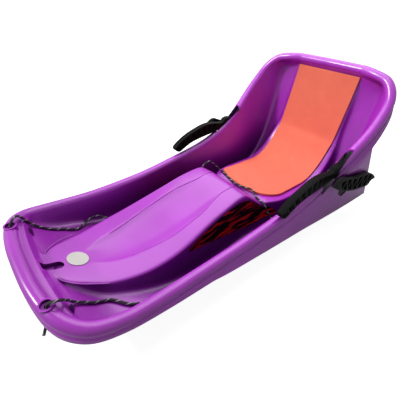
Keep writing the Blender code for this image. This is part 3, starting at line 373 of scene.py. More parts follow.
class BobsledSettings(bpy.types.PropertyGroup):
    hull: PointerProperty(name="Hull", description="Moulded hull", type=HullLook)
    pad: PointerProperty(name="Seat pad", description="Foam pad", type=PadLook)
    lever: PointerProperty(name="Levers", description="Brake levers", type=LeverLook)
    rope: PointerProperty(name="Rope", description="Tow rope", type=RopeLook)
    panel: PointerProperty(name="Panels", description="Film panels", type=PanelLook)
    stage: PointerProperty(name="Stage", description="Camera, floor and lights", type=StageLook)


# Colour and material nodes


def linear(hex_colour):
    """Linear RGBA of an sRGB hex value."""
    parts = [int(hex_colour[i:i + 2], 16) / 255 for i in (0, 2, 4)]
    return (*(c / 12.92 if c <= 0.04045 else ((c + 0.055) / 1.055) ** 2.4 for c in parts), 1.0)


def node(tree, kind, settings=None, links=None, feeds=None):
    """Adds a node, sets its properties, sockets and ramp stops, links its inputs from (node, output)
    pairs, and links its first output into another node's (node, socket)."""
    made = tree.nodes.new(kind)
    for name, value in (settings or {}).items():
        if name == "stops":
            elements = made.color_ramp.elements
            while len(elements) < len(value):
                elements.new(0.5)
            for element, (place, colour) in zip(elements, value):
                element.position, element.color = place, colour
        elif isinstance(name, int) or name in made.inputs:
            made.inputs[name].default_value = value
        else:
            setattr(made, name, value)
    for name, (source, output) in (links or {}).items():
        tree.links.new(source.outputs[output], made.inputs[name])
    if feeds:
        tree.links.new(made.outputs[0], feeds[0].inputs[feeds[1]])
    return made


def new_material(name, **sockets):
    """A new material with its tree and its shader, whose named sockets are set."""
    made = bpy.data.materials.new(name)
    made.use_nodes = True
    shader = made.node_tree.nodes["Principled BSDF"]
    for socket, value in sockets.items():
        shader.inputs[socket.replace("_", " ")].default_value = value
    return made, made.node_tree, shader


def shades(base, *parts):
    """Ramp stops that give a colour at several levels, each (place, level)."""
    return [(place, (*(min(1.0, c * level) for c in base[:3]), 1.0)) for place, level in parts]


def moulded_polyethylene(look):
    """High-density polyethylene, blow moulded in one colour: a waxy gloss, slightly translucent, with
    flow clouds and an orange peel. Deep hollows get painted shade: occlusion darkens their colour and
    takes off their sheen, a painted loss of reflection, so that they don't mirror the white room."""
    made, tree, shader = new_material(
        "moulded_polyethylene", Roughness=0.3, IOR=1.54, Subsurface_Weight=0.1,
        Subsurface_Radius=(1.0, 0.25, 1.0), Subsurface_Scale=0.004, Coat_Roughness=0.12)
    place = node(tree, "ShaderNodeTexCoord")
    clouds = node(tree, "ShaderNodeTexNoise", {"Scale": CLOUDS, "Detail": 3.0, "Roughness": 0.55},
                  {"Vector": (place, "Object")})
    shade = node(tree, "ShaderNodeValToRGB", {"stops": shades(linear(look.colour), (0.35, 0.93), (0.65, 1.06))},
                 {"Fac": (clouds, "Fac")})
    # Painted shade: ambient occlusion darkens the base colour in hollows
    depth = node(tree, "ShaderNodeAmbientOcclusion", {"samples": 8, "Distance": PAINTED_SHADE_REACH})
    deep = node(tree, "ShaderNodeValToRGB", {"stops": PAINTED_HOLLOW_SHADE}, {"Fac": (depth, "AO")})
    shaded_base = node(tree, "ShaderNodeMix", {"data_type": "RGBA", "blend_type": "MULTIPLY", "Factor": 1.0},
                  {6: (shade, "Color"), 7: (deep, "Color")})
    tree.links.new(shaded_base.outputs[2], shader.inputs["Base Color"])
    # Painted loss of reflection: hollows lose their specular and coat by the same occlusion
    for socket, most in (("Specular IOR Level", 0.5), ("Coat Weight", 0.18)):
        node(tree, "ShaderNodeMapRange", {"From Min": 0.1, "From Max": 0.45, "To Max": most},
             {"Value": (depth, "AO")}, (shader, socket))
    peel = node(tree, "ShaderNodeTexNoise", {"Scale": PEEL, "Detail": 2.0}, {"Vector": (place, "Object")})
    node(tree, "ShaderNodeBump", {"Distance": 0.00005, "Strength": 0.6}, {"Height": (peel, "Fac")},
         (shader, "Normal"))
    return made


def moulded_nylon(look):
    """Glass-filled nylon, moulded black: a dull skin with a fine spark-eroded grain."""
    made, tree, shader = new_material(
        "moulded_nylon", Base_Color=linear(look.colour), Roughness=0.55, IOR=1.53, Specular_IOR_Level=0.06)
    place = node(tree, "ShaderNodeTexCoord")
    grain = node(tree, "ShaderNodeTexNoise", {"Scale": GRAIN, "Detail": 2.0}, {"Vector": (place, "Object")})
    node(tree, "ShaderNodeBump", {"Distance": 0.0001, "Strength": 0.5}, {"Height": (grain, "Fac")},
         (shader, "Normal"))
    return made


def cross_linked_foam(look):
    """Closed-cell foam sheet: matt, with its cells and a slight mottling."""
    made, tree, shader = new_material(
        "cross_linked_foam", Roughness=0.72, IOR=1.45, Sheen_Weight=0.15, Sheen_Roughness=0.5)
    place = node(tree, "ShaderNodeTexCoord")
    mottle = node(tree, "ShaderNodeTexNoise", {"Scale": MOTTLE, "Detail": 4.0}, {"Vector": (place, "Object")})
    node(tree, "ShaderNodeValToRGB", {"stops": shades(linear(look.colour), (0.3, 0.94), (0.7, 1.05))},
         {"Fac": (mottle, "Fac")}, (shader, "Base Color"))
    cells = node(tree, "ShaderNodeTexVoronoi", {"Scale": CELLS}, {"Vector": (place, "Object")})
    node(tree, "ShaderNodeBump", {"Distance": 0.0002, "Strength": 0.5}, {"Height": (cells, "Distance")},
         (shader, "Normal"))
    return made


def braided_polypropylene(look):
    """Braided polypropylene cord: two sets of dull yarns that cross every 4 mm, with one light yarn
    that comes up as a fleck once in each pitch."""
    made, tree, shader = new_material("braided_polypropylene", Roughness=0.62, IOR=1.49)
    place = node(tree, "ShaderNodeUVMap", {"uv_map": "cord"})
    parts = node(tree, "ShaderNodeSeparateXYZ", links={"Vector": (place, "UV")})
    pitch = node(tree, "ShaderNodeMath", {"operation": "MULTIPLY_ADD", 1: 1.0 / look.fleck_pitch},
                 {0: (parts, "X"), 2: (parts, "Y")})
    along = node(tree, "ShaderNodeMath", {"operation": "FRACT"}, {0: (pitch, "Value")})
    yarn, fleck = linear(look.colour), linear(look.fleck)
    node(tree, "ShaderNodeValToRGB",
         {"stops": [(0.0, yarn), (0.36, yarn), (0.4, fleck), (0.52, fleck), (0.56, yarn)]},
         {"Fac": (along, "Value")}, (shader, "Base Color"))
    waves = {}
    for i, lean in enumerate((YARN_LEAN, -YARN_LEAN)):
        turned = node(tree, "ShaderNodeMath", {"operation": "MULTIPLY", 1: lean}, {0: (parts, "Y")})
        phase = node(tree, "ShaderNodeMath", {"operation": "MULTIPLY_ADD", 1: YARNS},
                     {0: (parts, "X"), 2: (turned, "Value")})
        angle = node(tree, "ShaderNodeMath", {"operation": "MULTIPLY", 1: 2 * pi}, {0: (phase, "Value")})
        waves[i] = (node(tree, "ShaderNodeMath", {"operation": "SINE"}, {0: (angle, "Value")}), "Value")
    braid = node(tree, "ShaderNodeMath", {"operation": "MAXIMUM"}, waves)
    node(tree, "ShaderNodeBump", {"Distance": 0.0004, "Strength": 0.8}, {"Height": (braid, "Value")},
         (shader, "Normal"))
    return made


def printed_film(look):
    """Vinyl film printed with red flame tongues on black, long and lean, under a dull clear layer."""
    made, tree, shader = new_material("printed_vinyl_film", Roughness=0.55, IOR=1.4, Specular_IOR_Level=0.08)
    place = node(tree, "ShaderNodeUVMap", {"uv_map": "film"})
    drift = node(tree, "ShaderNodeTexNoise", {"Scale": 14.0, "Detail": 2.0, "Distortion": 0.6},
                 {"Vector": (place, "UV")})
    bend = node(tree, "ShaderNodeVectorMath", {"operation": "SCALE", "Scale": TONGUE_BEND}, {0: (drift, "Color")})
    moved = node(tree, "ShaderNodeVectorMath", {"operation": "ADD"}, {0: (place, "UV"), 1: (bend, "Vector")})
    lean = node(tree, "ShaderNodeMapping", {"Rotation": (0.0, 0.0, radians(TONGUE_LEAN)), "Scale": TONGUES},
                {"Vector": (moved, "Vector")})
    tongues = node(tree, "ShaderNodeTexNoise", {"Scale": 1.0, "Detail": 1.5, "Roughness": 0.45},
                   {"Vector": (lean, "Vector")})
    ground = linear(look.ground)
    node(tree, "ShaderNodeValToRGB",
         {"stops": [(0.0, ground), (0.52, ground), (0.555, linear(look.flame)),
                    (0.7, linear(look.flame_tip))]},
         {"Fac": (tongues, "Fac")}, (shader, "Base Color"))
    return made


def plain_film(look):
    """Blank off-white vinyl disc with faint stains from handling."""
    made, tree, shader = new_material("plain_vinyl_film", Roughness=0.34, IOR=1.5)
    place = node(tree, "ShaderNodeTexCoord")
    stain = node(tree, "ShaderNodeTexNoise", {"Scale": STAINS, "Detail": 3.0}, {"Vector": (place, "Object")})
    node(tree, "ShaderNodeValToRGB", {"stops": shades(linear(look.disc), (0.3, 0.93), (0.7, 1.0))},
         {"Fac": (stain, "Fac")}, (shader, "Base Color"))
    return made


def turned_steel():
    """Zinc-plated steel bar for the brake pins, turned, with fine rings along it."""
    made, tree, shader = new_material("turned_steel", Base_Color=linear("b9b9bd"), Metallic=1.0, Roughness=0.32)
    place = node(tree, "ShaderNodeTexCoord")
    rings = node(tree, "ShaderNodeTexWave", {"Scale": RINGS, "bands_direction": "X"}, {"Vector": (place, "Object")})
    node(tree, "ShaderNodeBump", {"Distance": 0.00004, "Strength": 0.5}, {"Height": (rings, "Fac")},
         (shader, "Normal"))
    return made


# Geometry helpers


def smooth(stations, column, at):
    """Reads one column of a station table at any place along it, with no overshoot between stations."""
    table = np.asarray(stations, float)
    xs, ys = table[:, 0], table[:, column]
    at = np.asarray(at, float)
    step = np.diff(xs)
    rise = np.diff(ys) / step
    slope = np.concatenate([rise[:1], np.zeros(len(xs) - 2), rise[-1:]])
    for i in range(1, len(xs) - 1):
        if rise[i - 1] * rise[i] > 0:
            a, b = 2 * step[i] + step[i - 1], step[i] + 2 * step[i - 1]
            slope[i] = (a + b) / (a / rise[i - 1] + b / rise[i])
    i = np.clip(np.searchsorted(xs, at) - 1, 0, len(step) - 1)
    t = (at - xs[i]) / step[i]
    return (
        (1 + 2 * t) * (1 - t) ** 2 * ys[i]
        + t * (1 - t) ** 2 * step[i] * slope[i]
        + t * t * (3 - 2 * t) * ys[i + 1]
        + t * t * (t - 1) * step[i] * slope[i + 1]
    )


def spline(points, count):
    """A smooth curve through every point, with the same number of steps on each stretch."""
    p = np.array(points, float)
    p = np.concatenate([[2 * p[0] - p[1]], p, [2 * p[-1] - p[-2]]])
    u = np.linspace(0, len(p) - 3 - 1e-9, count)
    i = u.astype(int)
    t = (u - i)[:, None]
    a, b, c, d = p[i], p[i + 1], p[i + 2], p[i + 3]
    return 0.5 * (2 * b + (c - a) * t + (2 * a - 5 * b + 4 * c - d) * t ** 2
                  + (3 * b - a - 3 * c + d) * t ** 3)


def resample(points, count):
    points = np.array(points, float)
    walked = np.concatenate([[0.0], np.cumsum(np.linalg.norm(np.diff(points, axis=0), axis=1))])
    at = np.linspace(0.0, walked[-1], count)
    return np.stack([np.interp(at, walked, points[:, c]) for c in range(points.shape[1])], axis=1)


def looks():
    """The collection that holds every dressed piece."""
    made = bpy.data.collections.get("bobsled_looks")
    if made is None:
        made = bpy.data.collections.new("bobsled_looks")
        bpy.context.scene.collection.children.link(made)
    return made


def placed(name, work, into):
    """Ends a working mesh and links it as an object."""
    mesh = bpy.data.meshes.new(name)
    work.to_mesh(mesh)
    work.free()
    obj = bpy.data.objects.new(name, mesh)
    into.objects.link(obj)
    return obj


def mesh_object(name, points, faces, into, material=None):
    mesh = bpy.data.meshes.new(name)
    mesh.from_pydata([tuple(p * MM) for p in np.asarray(points, float)], [], faces)
    mesh.validate()
    mesh.update()
    obj = bpy.data.objects.new(name, mesh)
    into.objects.link(obj)
    if material:
        mesh.materials.append(material)
    return obj


def sheet(rows, columns):
    """Faces of a sheet whose points run row by row."""
    return [[r * columns + c, r * columns + c + 1, (r + 1) * columns + c + 1, (r + 1) * columns + c]
            for r in range(rows - 1) for c in range(columns - 1)]


def soften(obj, angle):
    """Smooth shading that keeps every edge sharper than the angle."""
    mesh = obj.data
    mesh.shade_smooth()
    mesh.set_sharp_from_angle(angle=radians(angle))


def applied(obj):
    """Bakes an object's modifiers and its place into its mesh."""
    bpy.context.view_layer.update()
    evaluated = obj.evaluated_get(bpy.context.evaluated_depsgraph_get())
    mesh = bpy.data.meshes.new_from_object(evaluated)
    mesh.transform(obj.matrix_world)
    old = obj.data
    obj.modifiers.clear()
    obj.data = mesh
    obj.matrix_world = Matrix.Identity(4)
    mesh.polygons.foreach_set("material_index", [0] * len(mesh.polygons))
    while len(mesh.materials) > 1:
        mesh.materials.pop(index=len(mesh.materials) - 1)
    if old.users == 0:
        bpy.data.meshes.remove(old)


def joined(name, pieces, into, material):
    """One mesh object from several, which are removed."""
    work = bmesh.new()
    for piece in pieces:
        applied(piece)
        work.from_mesh(piece.data)
    for piece in pieces:
        bpy.data.objects.remove(piece, do_unlink=True)
    obj = placed(name, work, into)
    obj.data.materials.append(material)
    return obj


def cylinder(name, radius, start, end, into, sides=32):
    """A round bar between two points, in millimetres."""
    start, end = np.array(start, float), np.array(end, float)
    length = float(np.linalg.norm(end - start))
    work = bmesh.new()
    bmesh.ops.create_cone(work, cap_ends=True, segments=sides, radius1=radius * MM, radius2=radius * MM,
                          depth=length * MM)
    turn = Vector((0, 0, 1)).rotation_difference(Vector((end - start) / length)).to_matrix().to_4x4()
    work.transform(Matrix.Translation(Vector((start + end) / 2 * MM)) @ turn)
    return placed(name, work, into)


def block(name, low, high, into):
    work = bmesh.new()
    bmesh.ops.create_cube(work, size=1.0)
    low, high = np.array(low, float), np.array(high, float)
    size = Matrix.Diagonal((*(high - low) * MM, 1.0))
    work.transform(Matrix.Translation(Vector((low + high) / 2 * MM)) @ size)
    return placed(name, work, into)


def plate(name, outline, x_range, into):
    """A flat piece: an outline in the lengthwise plane (y, z), as thick as its range across the sled."""
    curve = bpy.data.curves.new(name + "_outline", "CURVE")
    curve.dimensions = "2D"
    curve.fill_mode = "BOTH"
    curve.extrude = (x_range[1] - x_range[0]) / 2 * MM
    line = curve.splines.new("POLY")
    line.points.add(len(outline) - 1)
    for point, (y, z) in zip(line.points, outline):
        point.co = (y * MM, z * MM, 0.0, 1.0)
    line.use_cyclic_u = True
    guide = bpy.data.objects.new(name + "_outline", curve)
    into.objects.link(guide)
    guide.rotation_euler = (radians(90), 0, radians(90))
    guide.location = ((x_range[0] + x_range[1]) / 2 * MM, 0, 0)
    bpy.context.view_layer.update()
    evaluated = guide.evaluated_get(bpy.context.evaluated_depsgraph_get())
    mesh = bpy.data.meshes.new_from_object(evaluated)
    mesh.transform(guide.matrix_world)
    bpy.data.objects.remove(guide, do_unlink=True)
    work = bmesh.new()
    work.from_mesh(mesh)
    bpy.data.meshes.remove(mesh)
    bmesh.ops.remove_doubles(work, verts=work.verts, dist=1e-6)
    bmesh.ops.recalc_face_normals(work, faces=work.faces)
    bmesh.ops.dissolve_limit(work, angle_limit=radians(1), verts=work.verts, edges=work.edges)
    return placed(name, work, into)


def modified(obj, name, kind, **settings):
    """Adds a modifier with its settings."""
    made = obj.modifiers.new(name, kind)
    for setting, value in settings.items():
        setattr(made, setting, value)


def boolean(obj, others, operation, group):
    """Joins or cuts with several solids at once."""
    tools = bpy.data.collections.new(group)
    bpy.context.scene.collection.children.link(tools)
    for other in others:
        for old in list(other.users_collection):
            old.objects.unlink(other)
        tools.objects.link(other)
    modified(obj, group, "BOOLEAN", operation=operation, operand_type="COLLECTION", collection=tools,
             solver="MANIFOLD")
    return tools


def discard(tools):
    for obj in list(tools.objects):
        bpy.data.objects.remove(obj, do_unlink=True)
    bpy.data.collections.remove(tools)


def cut(obj, others):
    """Takes solids out of a piece, and removes them."""
    tools = boolean(obj, others, "DIFFERENCE", "cutters")
    applied(obj)
    discard(tools)


def bevelled(obj, width, angle=30.0):
    modified(obj, "edges", "BEVEL", width=width, segments=3, limit_method="ANGLE", angle_limit=radians(angle),
             harden_normals=False)


# Hull


class Rim:
    """The rolled rim along one side, measured by the length walked from the middle of the nose."""

    def __init__(self):
        points = np.array([row[:3] for row in RIM])
        walked = np.concatenate([[0.0], np.cumsum(np.linalg.norm(np.diff(points, axis=0), axis=1))])
        self.table = np.column_stack([walked, np.array(RIM)])
        self.nose_corner, self.back_corner = walked[NOSE_CORNER], walked[BACK_CORNER]
        self.length = walked[-1]
        self.fine = np.linspace(0.0, self.length, 4001)
        self.trace = self.read(self.fine, (1, 2, 3))

    def read(self, s, columns):
        return np.stack([smooth(self.table, c, s) for c in columns], axis=-1)

    def point(self, s):
        return self.read(s, (1, 2, 3))

    def where_y(self, y):
        side = (self.fine >= self.nose_corner) & (self.fine <= self.back_corner)
        return np.interp(y, self.trace[side, 1], self.fine[side])

    def rings(self, s, roll_parts):
        """The roll, the crease under it and the flange strip at one place, from the inner edge outwards."""
        s = np.atleast_1d(s)
        ahead, behind = np.minimum(s + 1.0, self.length), np.maximum(s - 1.0, 0.0)
        along = self.point(ahead) - self.point(behind)
        along /= np.linalg.norm(along, axis=1, keepdims=True)
        across = self.read(s, (4, 5, 6))
        across -= along * np.sum(across * along, axis=1, keepdims=True)
        across /= np.linalg.norm(across, axis=1, keepdims=True)
        centre = (s <= 1e-6) | (s >= self.length - 1e-6)
        across[centre, 0] = 0.0
        bulge = np.cross(across, along)
        bulge[centre, 0] = 0.0
        plan = across * (1, 1, 0)
        plan /= np.linalg.norm(plan, axis=1, keepdims=True)
        drop, flare = self.read(s, (7,)), self.read(s, (8,))
        up = np.array([0.0, 0.0, 1.0])
        inner = self.point(s)
        rows = []
        for part in np.arange(1, roll_parts + 1) / roll_parts:
            over = 1 - cos(pi * part)
            rows.append(inner + across * ROLL_WIDTH / 2 * over + bulge * ROLL_HEIGHT * sin(pi * part))
        outer = rows[-1]
        rows.append(outer - plan * CREASE_IN - up * np.minimum(CREASE_DROP, CREASE_PART * drop))
        rows.append(outer + plan * STRIP_FLARE * flare - up * np.minimum(STRIP_DROP, STRIP_PART * drop))
        rows.append(outer + plan * flare - up * drop)
        return rows


def shelf(edge, x):
    y, y_bend, z, z_fall = edge
    bent = (x / SHELF_BEND_X) ** 2
    return np.column_stack([x, y + y_bend * bent, z - z_fall * bent])


def nose_rows(rim):
    """The roll's foot, the shelf and its step, from the middle plane to the rim."""
    part = np.array(NOSE_COLUMNS)
    foot = rim.point(part * rim.nose_corner)
    x = part * SHELF_HALF
    top, bottom = shelf(SHELF_TOP, x), shelf(SHELF_FOOT, x)
    near_foot = np.column_stack([
        x, np.interp(x, foot[:, 0], foot[:, 1]), np.interp(x, foot[:, 0], foot[:, 2])
    ])
    rows = [foot, (near_foot + top) / 2, top, bottom]
    for row, y in zip(rows[1:], SHELF_SIDE_Y):
        row[-1] = rim.point(rim.where_y(y))
    return rows


def station_row(rim, station):
    """One cross row: dished top, shoulder, side wall, leg channel and tub wall up to the rim."""
    y, z_mid, z_side, half, dish, floor_y, floor_z, rim_y = station
    edge = rim.point(rim.where_y(rim_y))
    down = np.array([floor_y - y, floor_z - z_side])
    drop = np.hypot(*down)
    down /= drop
    foot_half = half + FLOOR_CORNER - 1 + DRAFT * drop
    depth = np.hypot(edge[1] - floor_y, edge[2] - floor_z)
    wall_half = min(edge[0] - RIM_TUCK - DRAFT * depth, POCKET_HALF)
    row = []
    last = half - min(SHOULDER, 0.2 * half)
    wide = min(float(smooth(DISH_EDGE, 1, y)), 0.6 * half)
    section = [(share * wide, depth) for share, depth in DISH_SECTION]
    section += [((section[-1][0] + last) / 2, 0.0), (last, 0.0)]
    for x, depth in section:
        crown = (z_mid - z_side) * (1 - (x / half) ** 2)
        row.append((x, y, z_side + crown - dish * DISH_MORE * depth))
    for x, fall in (
        (half - 1.5, min(2.0, 0.2 * drop)),
        (half + 1.0, min(WALL_FOOT, 0.4 * drop)),
        (foot_half - 1.0, drop - min(WALL_FOOT - 1, 0.35 * drop)),
    ):
        row.append((x, y + down[0] * fall, z_side + down[1] * fall))
    inner, outer = foot_half + FLOOR_CORNER, wall_half - FLOOR_CORNER
    for x in (inner, (inner + outer) / 2, outer):
        row.append((x, floor_y, floor_z))
    foot = np.array([wall_half, floor_y, floor_z])
    up = edge - foot
    row.append(foot + up * min(WALL_FOOT / np.linalg.norm(up), 0.3))
    row.append(foot + up * 0.55)
    row.append(edge)
    return np.array(row, float)


def back_row(rim):
    """The last row: the rim's inner edge over the back, with as many points as the other rows."""
    below = station_row(rim, STATIONS[-1])
    over = rim.fine >= rim.back_corner
    place = np.interp(-below[:, 0] * rim.trace[over, 0].max() / below[-1, 0],
                      -rim.trace[over, 0], rim.fine[over])
    return rim.point(place), place


def hull_surface(roll_parts):
    """The visible side of the moulding as one open surface, with the lines that stay crisp."""
    rim = Rim()
    rows = nose_rows(rim) + [station_row(rim, station) for station in STATIONS]
    last, back_place = back_row(rim)
    half = np.array(rows + [last])
    count, columns = half.shape[:2]
    points, seen, faces, crisp = [], {}, [], {}

    def add(point):
        key = tuple(np.round(point, 4))
        if key not in seen:
            seen[key] = len(points)
            points.append(np.array(point, float))
        return seen[key]

    def face(*corners):
        kept = [c for i, c in enumerate(corners) if c != corners[i - 1]]
        if len(kept) > 2:
            faces.append(kept)

    def keep(line, weight):
        for a, b in zip(line, line[1:]):
            crisp[frozenset((a, b))] = weight

    for side in (1, -1):
        flip = np.array([side, 1, 1])
        grid = [[add(half[r, c] * flip) for c in range(columns)] for r in range(count)]
        for r in range(count - 1):
            for c in range(columns - 1):
                quad = (grid[r][c], grid[r][c + 1], grid[r + 1][c + 1], grid[r + 1][c])
                face(*quad[::side])
        side_y = list(SHELF_SIDE_Y) + [station[-1] for station in STATIONS]
        place = np.concatenate([
            np.array(NOSE_COLUMNS) * rim.nose_corner,
            rim.where_y(np.array(side_y)),
            back_place[::-1],
        ])
        border = ([grid[0][c] for c in range(columns)] + [grid[r][-1] for r in range(1, count - 1)]
                  + [grid[-1][c] for c in range(columns - 1, -1, -1)])
        rings = [border] + [[add(p * flip) for p in ring] for ring in rim.rings(place, roll_parts)]
        edge_y = np.concatenate([np.full(columns, -1e9), side_y, np.full(columns, 1e9)])
        for ring, below in zip(rings, rings[1:]):
            for i in range(len(border) - 1):
                quad = (ring[i], below[i], below[i + 1], ring[i + 1])
                face(*quad[::side])
        for line, weight in zip(rings[-3:] + grid[2:4], CRISP):
            keep(line, weight)
        apron(points, add, face, rings[-1], edge_y, side, flip)
    return points, faces, crisp


def apron(points, add, face, strip, edge_y, side, flip):
    """Hangs the side apron from the flange strip's lower edge."""
    first, last = APRON_Y
    held = [i for i, y in enumerate(edge_y) if first - 20 < y <= last + 1]
    columns = []
    for i in held:
        top = points[strip[i]] * flip
        rake = max(0.0, (edge_y[i] - RAKE_FROM) / (last - RAKE_FROM))
        y = top[1] + RAKE_LENGTH * rake ** RAKE_POWER
        low = np.array([smooth(APRON_EDGE, 1, y), y, smooth(APRON_EDGE, 2, y)])
        if i == held[0]:
            low = top
        columns.append([strip[i]] + [add((top + (low - top) * t) * flip) for t in (0.5, 1.0)])
    for left, right in zip(columns, columns[1:]):
        for a in range(2):
            quad = (left[a], left[a + 1], right[a + 1], right[a])
            face(*quad[::side])


def hull_bosses(into):
    """Rings round the rope holes, bosses for the brake pins and the cup under the nose recess."""
    made = []
    for side, label in SIDES:
        x = side * BOSS_X
        made.append(cylinder("rope_boss_" + label, BOSS_RADIUS, (x, BOSS_Y, BOSS_FOOT), (x, BOSS_Y, BOSS_TOP),
                             into, 64))
        near, far = PIVOT_BOSS_X
        for a, b in ((near, HANDLE_X[0] - SIDE_PLAY), (HANDLE_X[1] + SIDE_PLAY, far)):
            made.append(cylinder("pivot_boss_" + label, HUB_RADIUS, (side * a, PIVOT_Y, PIVOT_Z),
                                 (side * b, PIVOT_Y, PIVOT_Z), into, 40))
    near, far = SLOT_X - SLOT_HALF, SLOT_X + SLOT_HALF
    made.append(plate("nose_slot_cup", SLOT_CUP, (near - SLOT_WALL, far + SLOT_WALL), into))
    return made


def hull_cutters(into):
    """Dishes and holes for the rope, slots for the levers, the apron windows and the nose recess."""
    made = []
    for side, label in SIDES:
        x = side * BOSS_X
        made.append(cylinder("rope_dish_" + label, DISH_RADIUS, (x, BOSS_Y, BOSS_TOP - DISH_DEPTH),
                             (x, BOSS_Y, BOSS_TOP + CUT_PAST), into, 64))
        made.append(cylinder("rope_hole_" + label, HOLE / 2, (x, BOSS_Y, BOSS_FOOT - CUT_PAST),
                             (x, BOSS_Y, BOSS_TOP + CUT_PAST), into, 32))
        near, far = PIVOT_BOSS_X[0] + BORE_INSET, PIVOT_BOSS_X[1] - BORE_INSET
        made.append(cylinder("pin_bore_" + label, BORE_RADIUS, (side * near, PIVOT_Y, PIVOT_Z),
                             (side * far, PIVOT_Y, PIVOT_Z), into, 24))
        (y0, y1), (z0, z1) = ROLL_SLOT_Y, ROLL_SLOT_Z
        low, high = sorted((side * (HANDLE_X[0] - ROLL_SLOT_PLAY), side * (HANDLE_X[1] + ROLL_SLOT_PLAY)))
        made.append(block("roll_slot_" + label, (low, y0, z0), (high, y1, z1), into))
        low, high = sorted((side * (HANDLE_X[1] + WINDOW_PLAY), side * (CLAW_X[1] + WINDOW_PLAY)))
        made.append(plate("apron_window_" + label, APRON_WINDOW, (low, high), into))
    near, far = SLOT_X - SLOT_HALF, SLOT_X + SLOT_HALF
    shallow, deep = SLOT_FLOOR
    run = [(SLOT_FRONT, BOSS_TOP), (SLOT_FRONT, shallow), (SLOT_BEND, deep), (SLOT_BEND, BOSS_TOP)]
    made.append(plate("nose_slot_run", run, (near, far), into))
    made.append(cylinder("nose_slot_end", SLOT_HALF, (SLOT_X, SLOT_BEND, deep), (SLOT_X, SLOT_BEND, BOSS_TOP),
                         into, 48))
    return made


def dish_beads(into):
    """Slim beads along both edges of the dish, that dive into the skin at their ends."""
    low, high = BEAD_SPAN
    rim = Rim()
    edge = np.array([station_row(rim, station)[4] for station in STATIONS if low < station[0] < high])
    edge[:, 2] -= BEAD_SUNK
    edge[[0, -1], 2] -= 2 * BEAD_RADIUS
    return [tube("dish_bead_" + label, spline(edge * (side, 1, 1), 8 * len(edge)), BEAD_RADIUS, 10, into, None)
            for side, label in SIDES]


class BOBSLED_OT_hull(bpy.types.Operator):
    """Moulded hull with its rolled rim, aprons, bosses and slots"""

    bl_idname = "bobsled.hull"
    bl_label = "Hull"

    def execute(self, context):
        look = context.scene.bobsled.hull
        parts = looks()
        points, faces, crisp = hull_surface(look.roll_parts)
        hull = mesh_object("moulded_hull", points, faces, parts, moulded_polyethylene(look))
        weights = hull.data.attributes.new("crease_edge", "FLOAT", "EDGE")
        for i, edge in enumerate(hull.data.edges):
            weights.data[i].value = crisp.get(frozenset(edge.vertices), 0.0)
        modified(hull, "smooth moulding", "SUBSURF", levels=look.levels, render_levels=look.levels,
                 boundary_smooth="PRESERVE_CORNERS")
        modified(hull, "wall", "SOLIDIFY", thickness=WALL * MM, offset=-1.0, use_even_offset=True,
                 use_quality_normals=True)
        raised = [tube("tip_lip", spline(LIP, 6 * len(LIP)), LIP_RADIUS, 10, parts, None)] + dish_beads(parts)
        joins = boolean(hull, hull_bosses(parts) + raised, "UNION", "hull_bosses")
        cuts = boolean(hull, hull_cutters(parts), "DIFFERENCE", "hull_cutters")
        applied(hull)
        discard(joins)
        discard(cuts)
        for vertex in hull.data.vertices:
            vertex.co.z = max(vertex.co.z, 0.0)
        soften(hull, 28.0)
        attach(hull, "sled")
        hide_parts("hull")
        return {"FINISHED"}


# Brake levers


def round_tip(top, bottom, reach):
    """Runs back along the bottom line, round the grip's free end in an even curve, and along the top line."""
    def curve(start, corner, end):
        return [tuple((1 - t) ** 2 * start + 2 * t * (1 - t) * corner + t * t * end) for t in np.linspace(0, 1, 7)]

    above = [p for p in top if np.linalg.norm(np.subtract(p, top[0])) > reach]
    below = [p for p in bottom if np.linalg.norm(np.subtract(p, bottom[0])) > reach]
    ends = [np.array(p, float) for p in (below[0], bottom[0], top[0], above[0])]
    middle = (ends[1] + ends[2]) / 2
    return below[::-1] + curve(ends[0], ends[1], middle)[1:] + curve(middle, ends[2], ends[3])[1:-1] + above


def rib_pockets(span, top_line, bottom_line, bays, into):
    """Triangular pockets between zigzag ribs, cut from both faces of a lever plate."""
    top = resample(top_line, bays + 1)
    bottom = resample(bottom_line, bays + 1)
    made = []
    for i in range(bays):
        for corners in ((top[i], top[i + 1], bottom[i]), (bottom[i], bottom[i + 1], top[i + 1])):
            corners = np.array(corners)
            middle = corners.mean(axis=0)
            reach = np.linalg.norm(corners - middle, axis=1).min()
            shrunk = middle + (corners - middle) * max(POCKET_LEAST, 1 - RIB_SHARE * RIB / reach)
            for face, inwards in ((span[0], 1), (span[1], -1)):
                depth = sorted((face - inwards * POCKET_PAST, face + inwards * RIB_DEPTH))
                made.append(plate("rib_pocket", shrunk, depth, into))
    return made


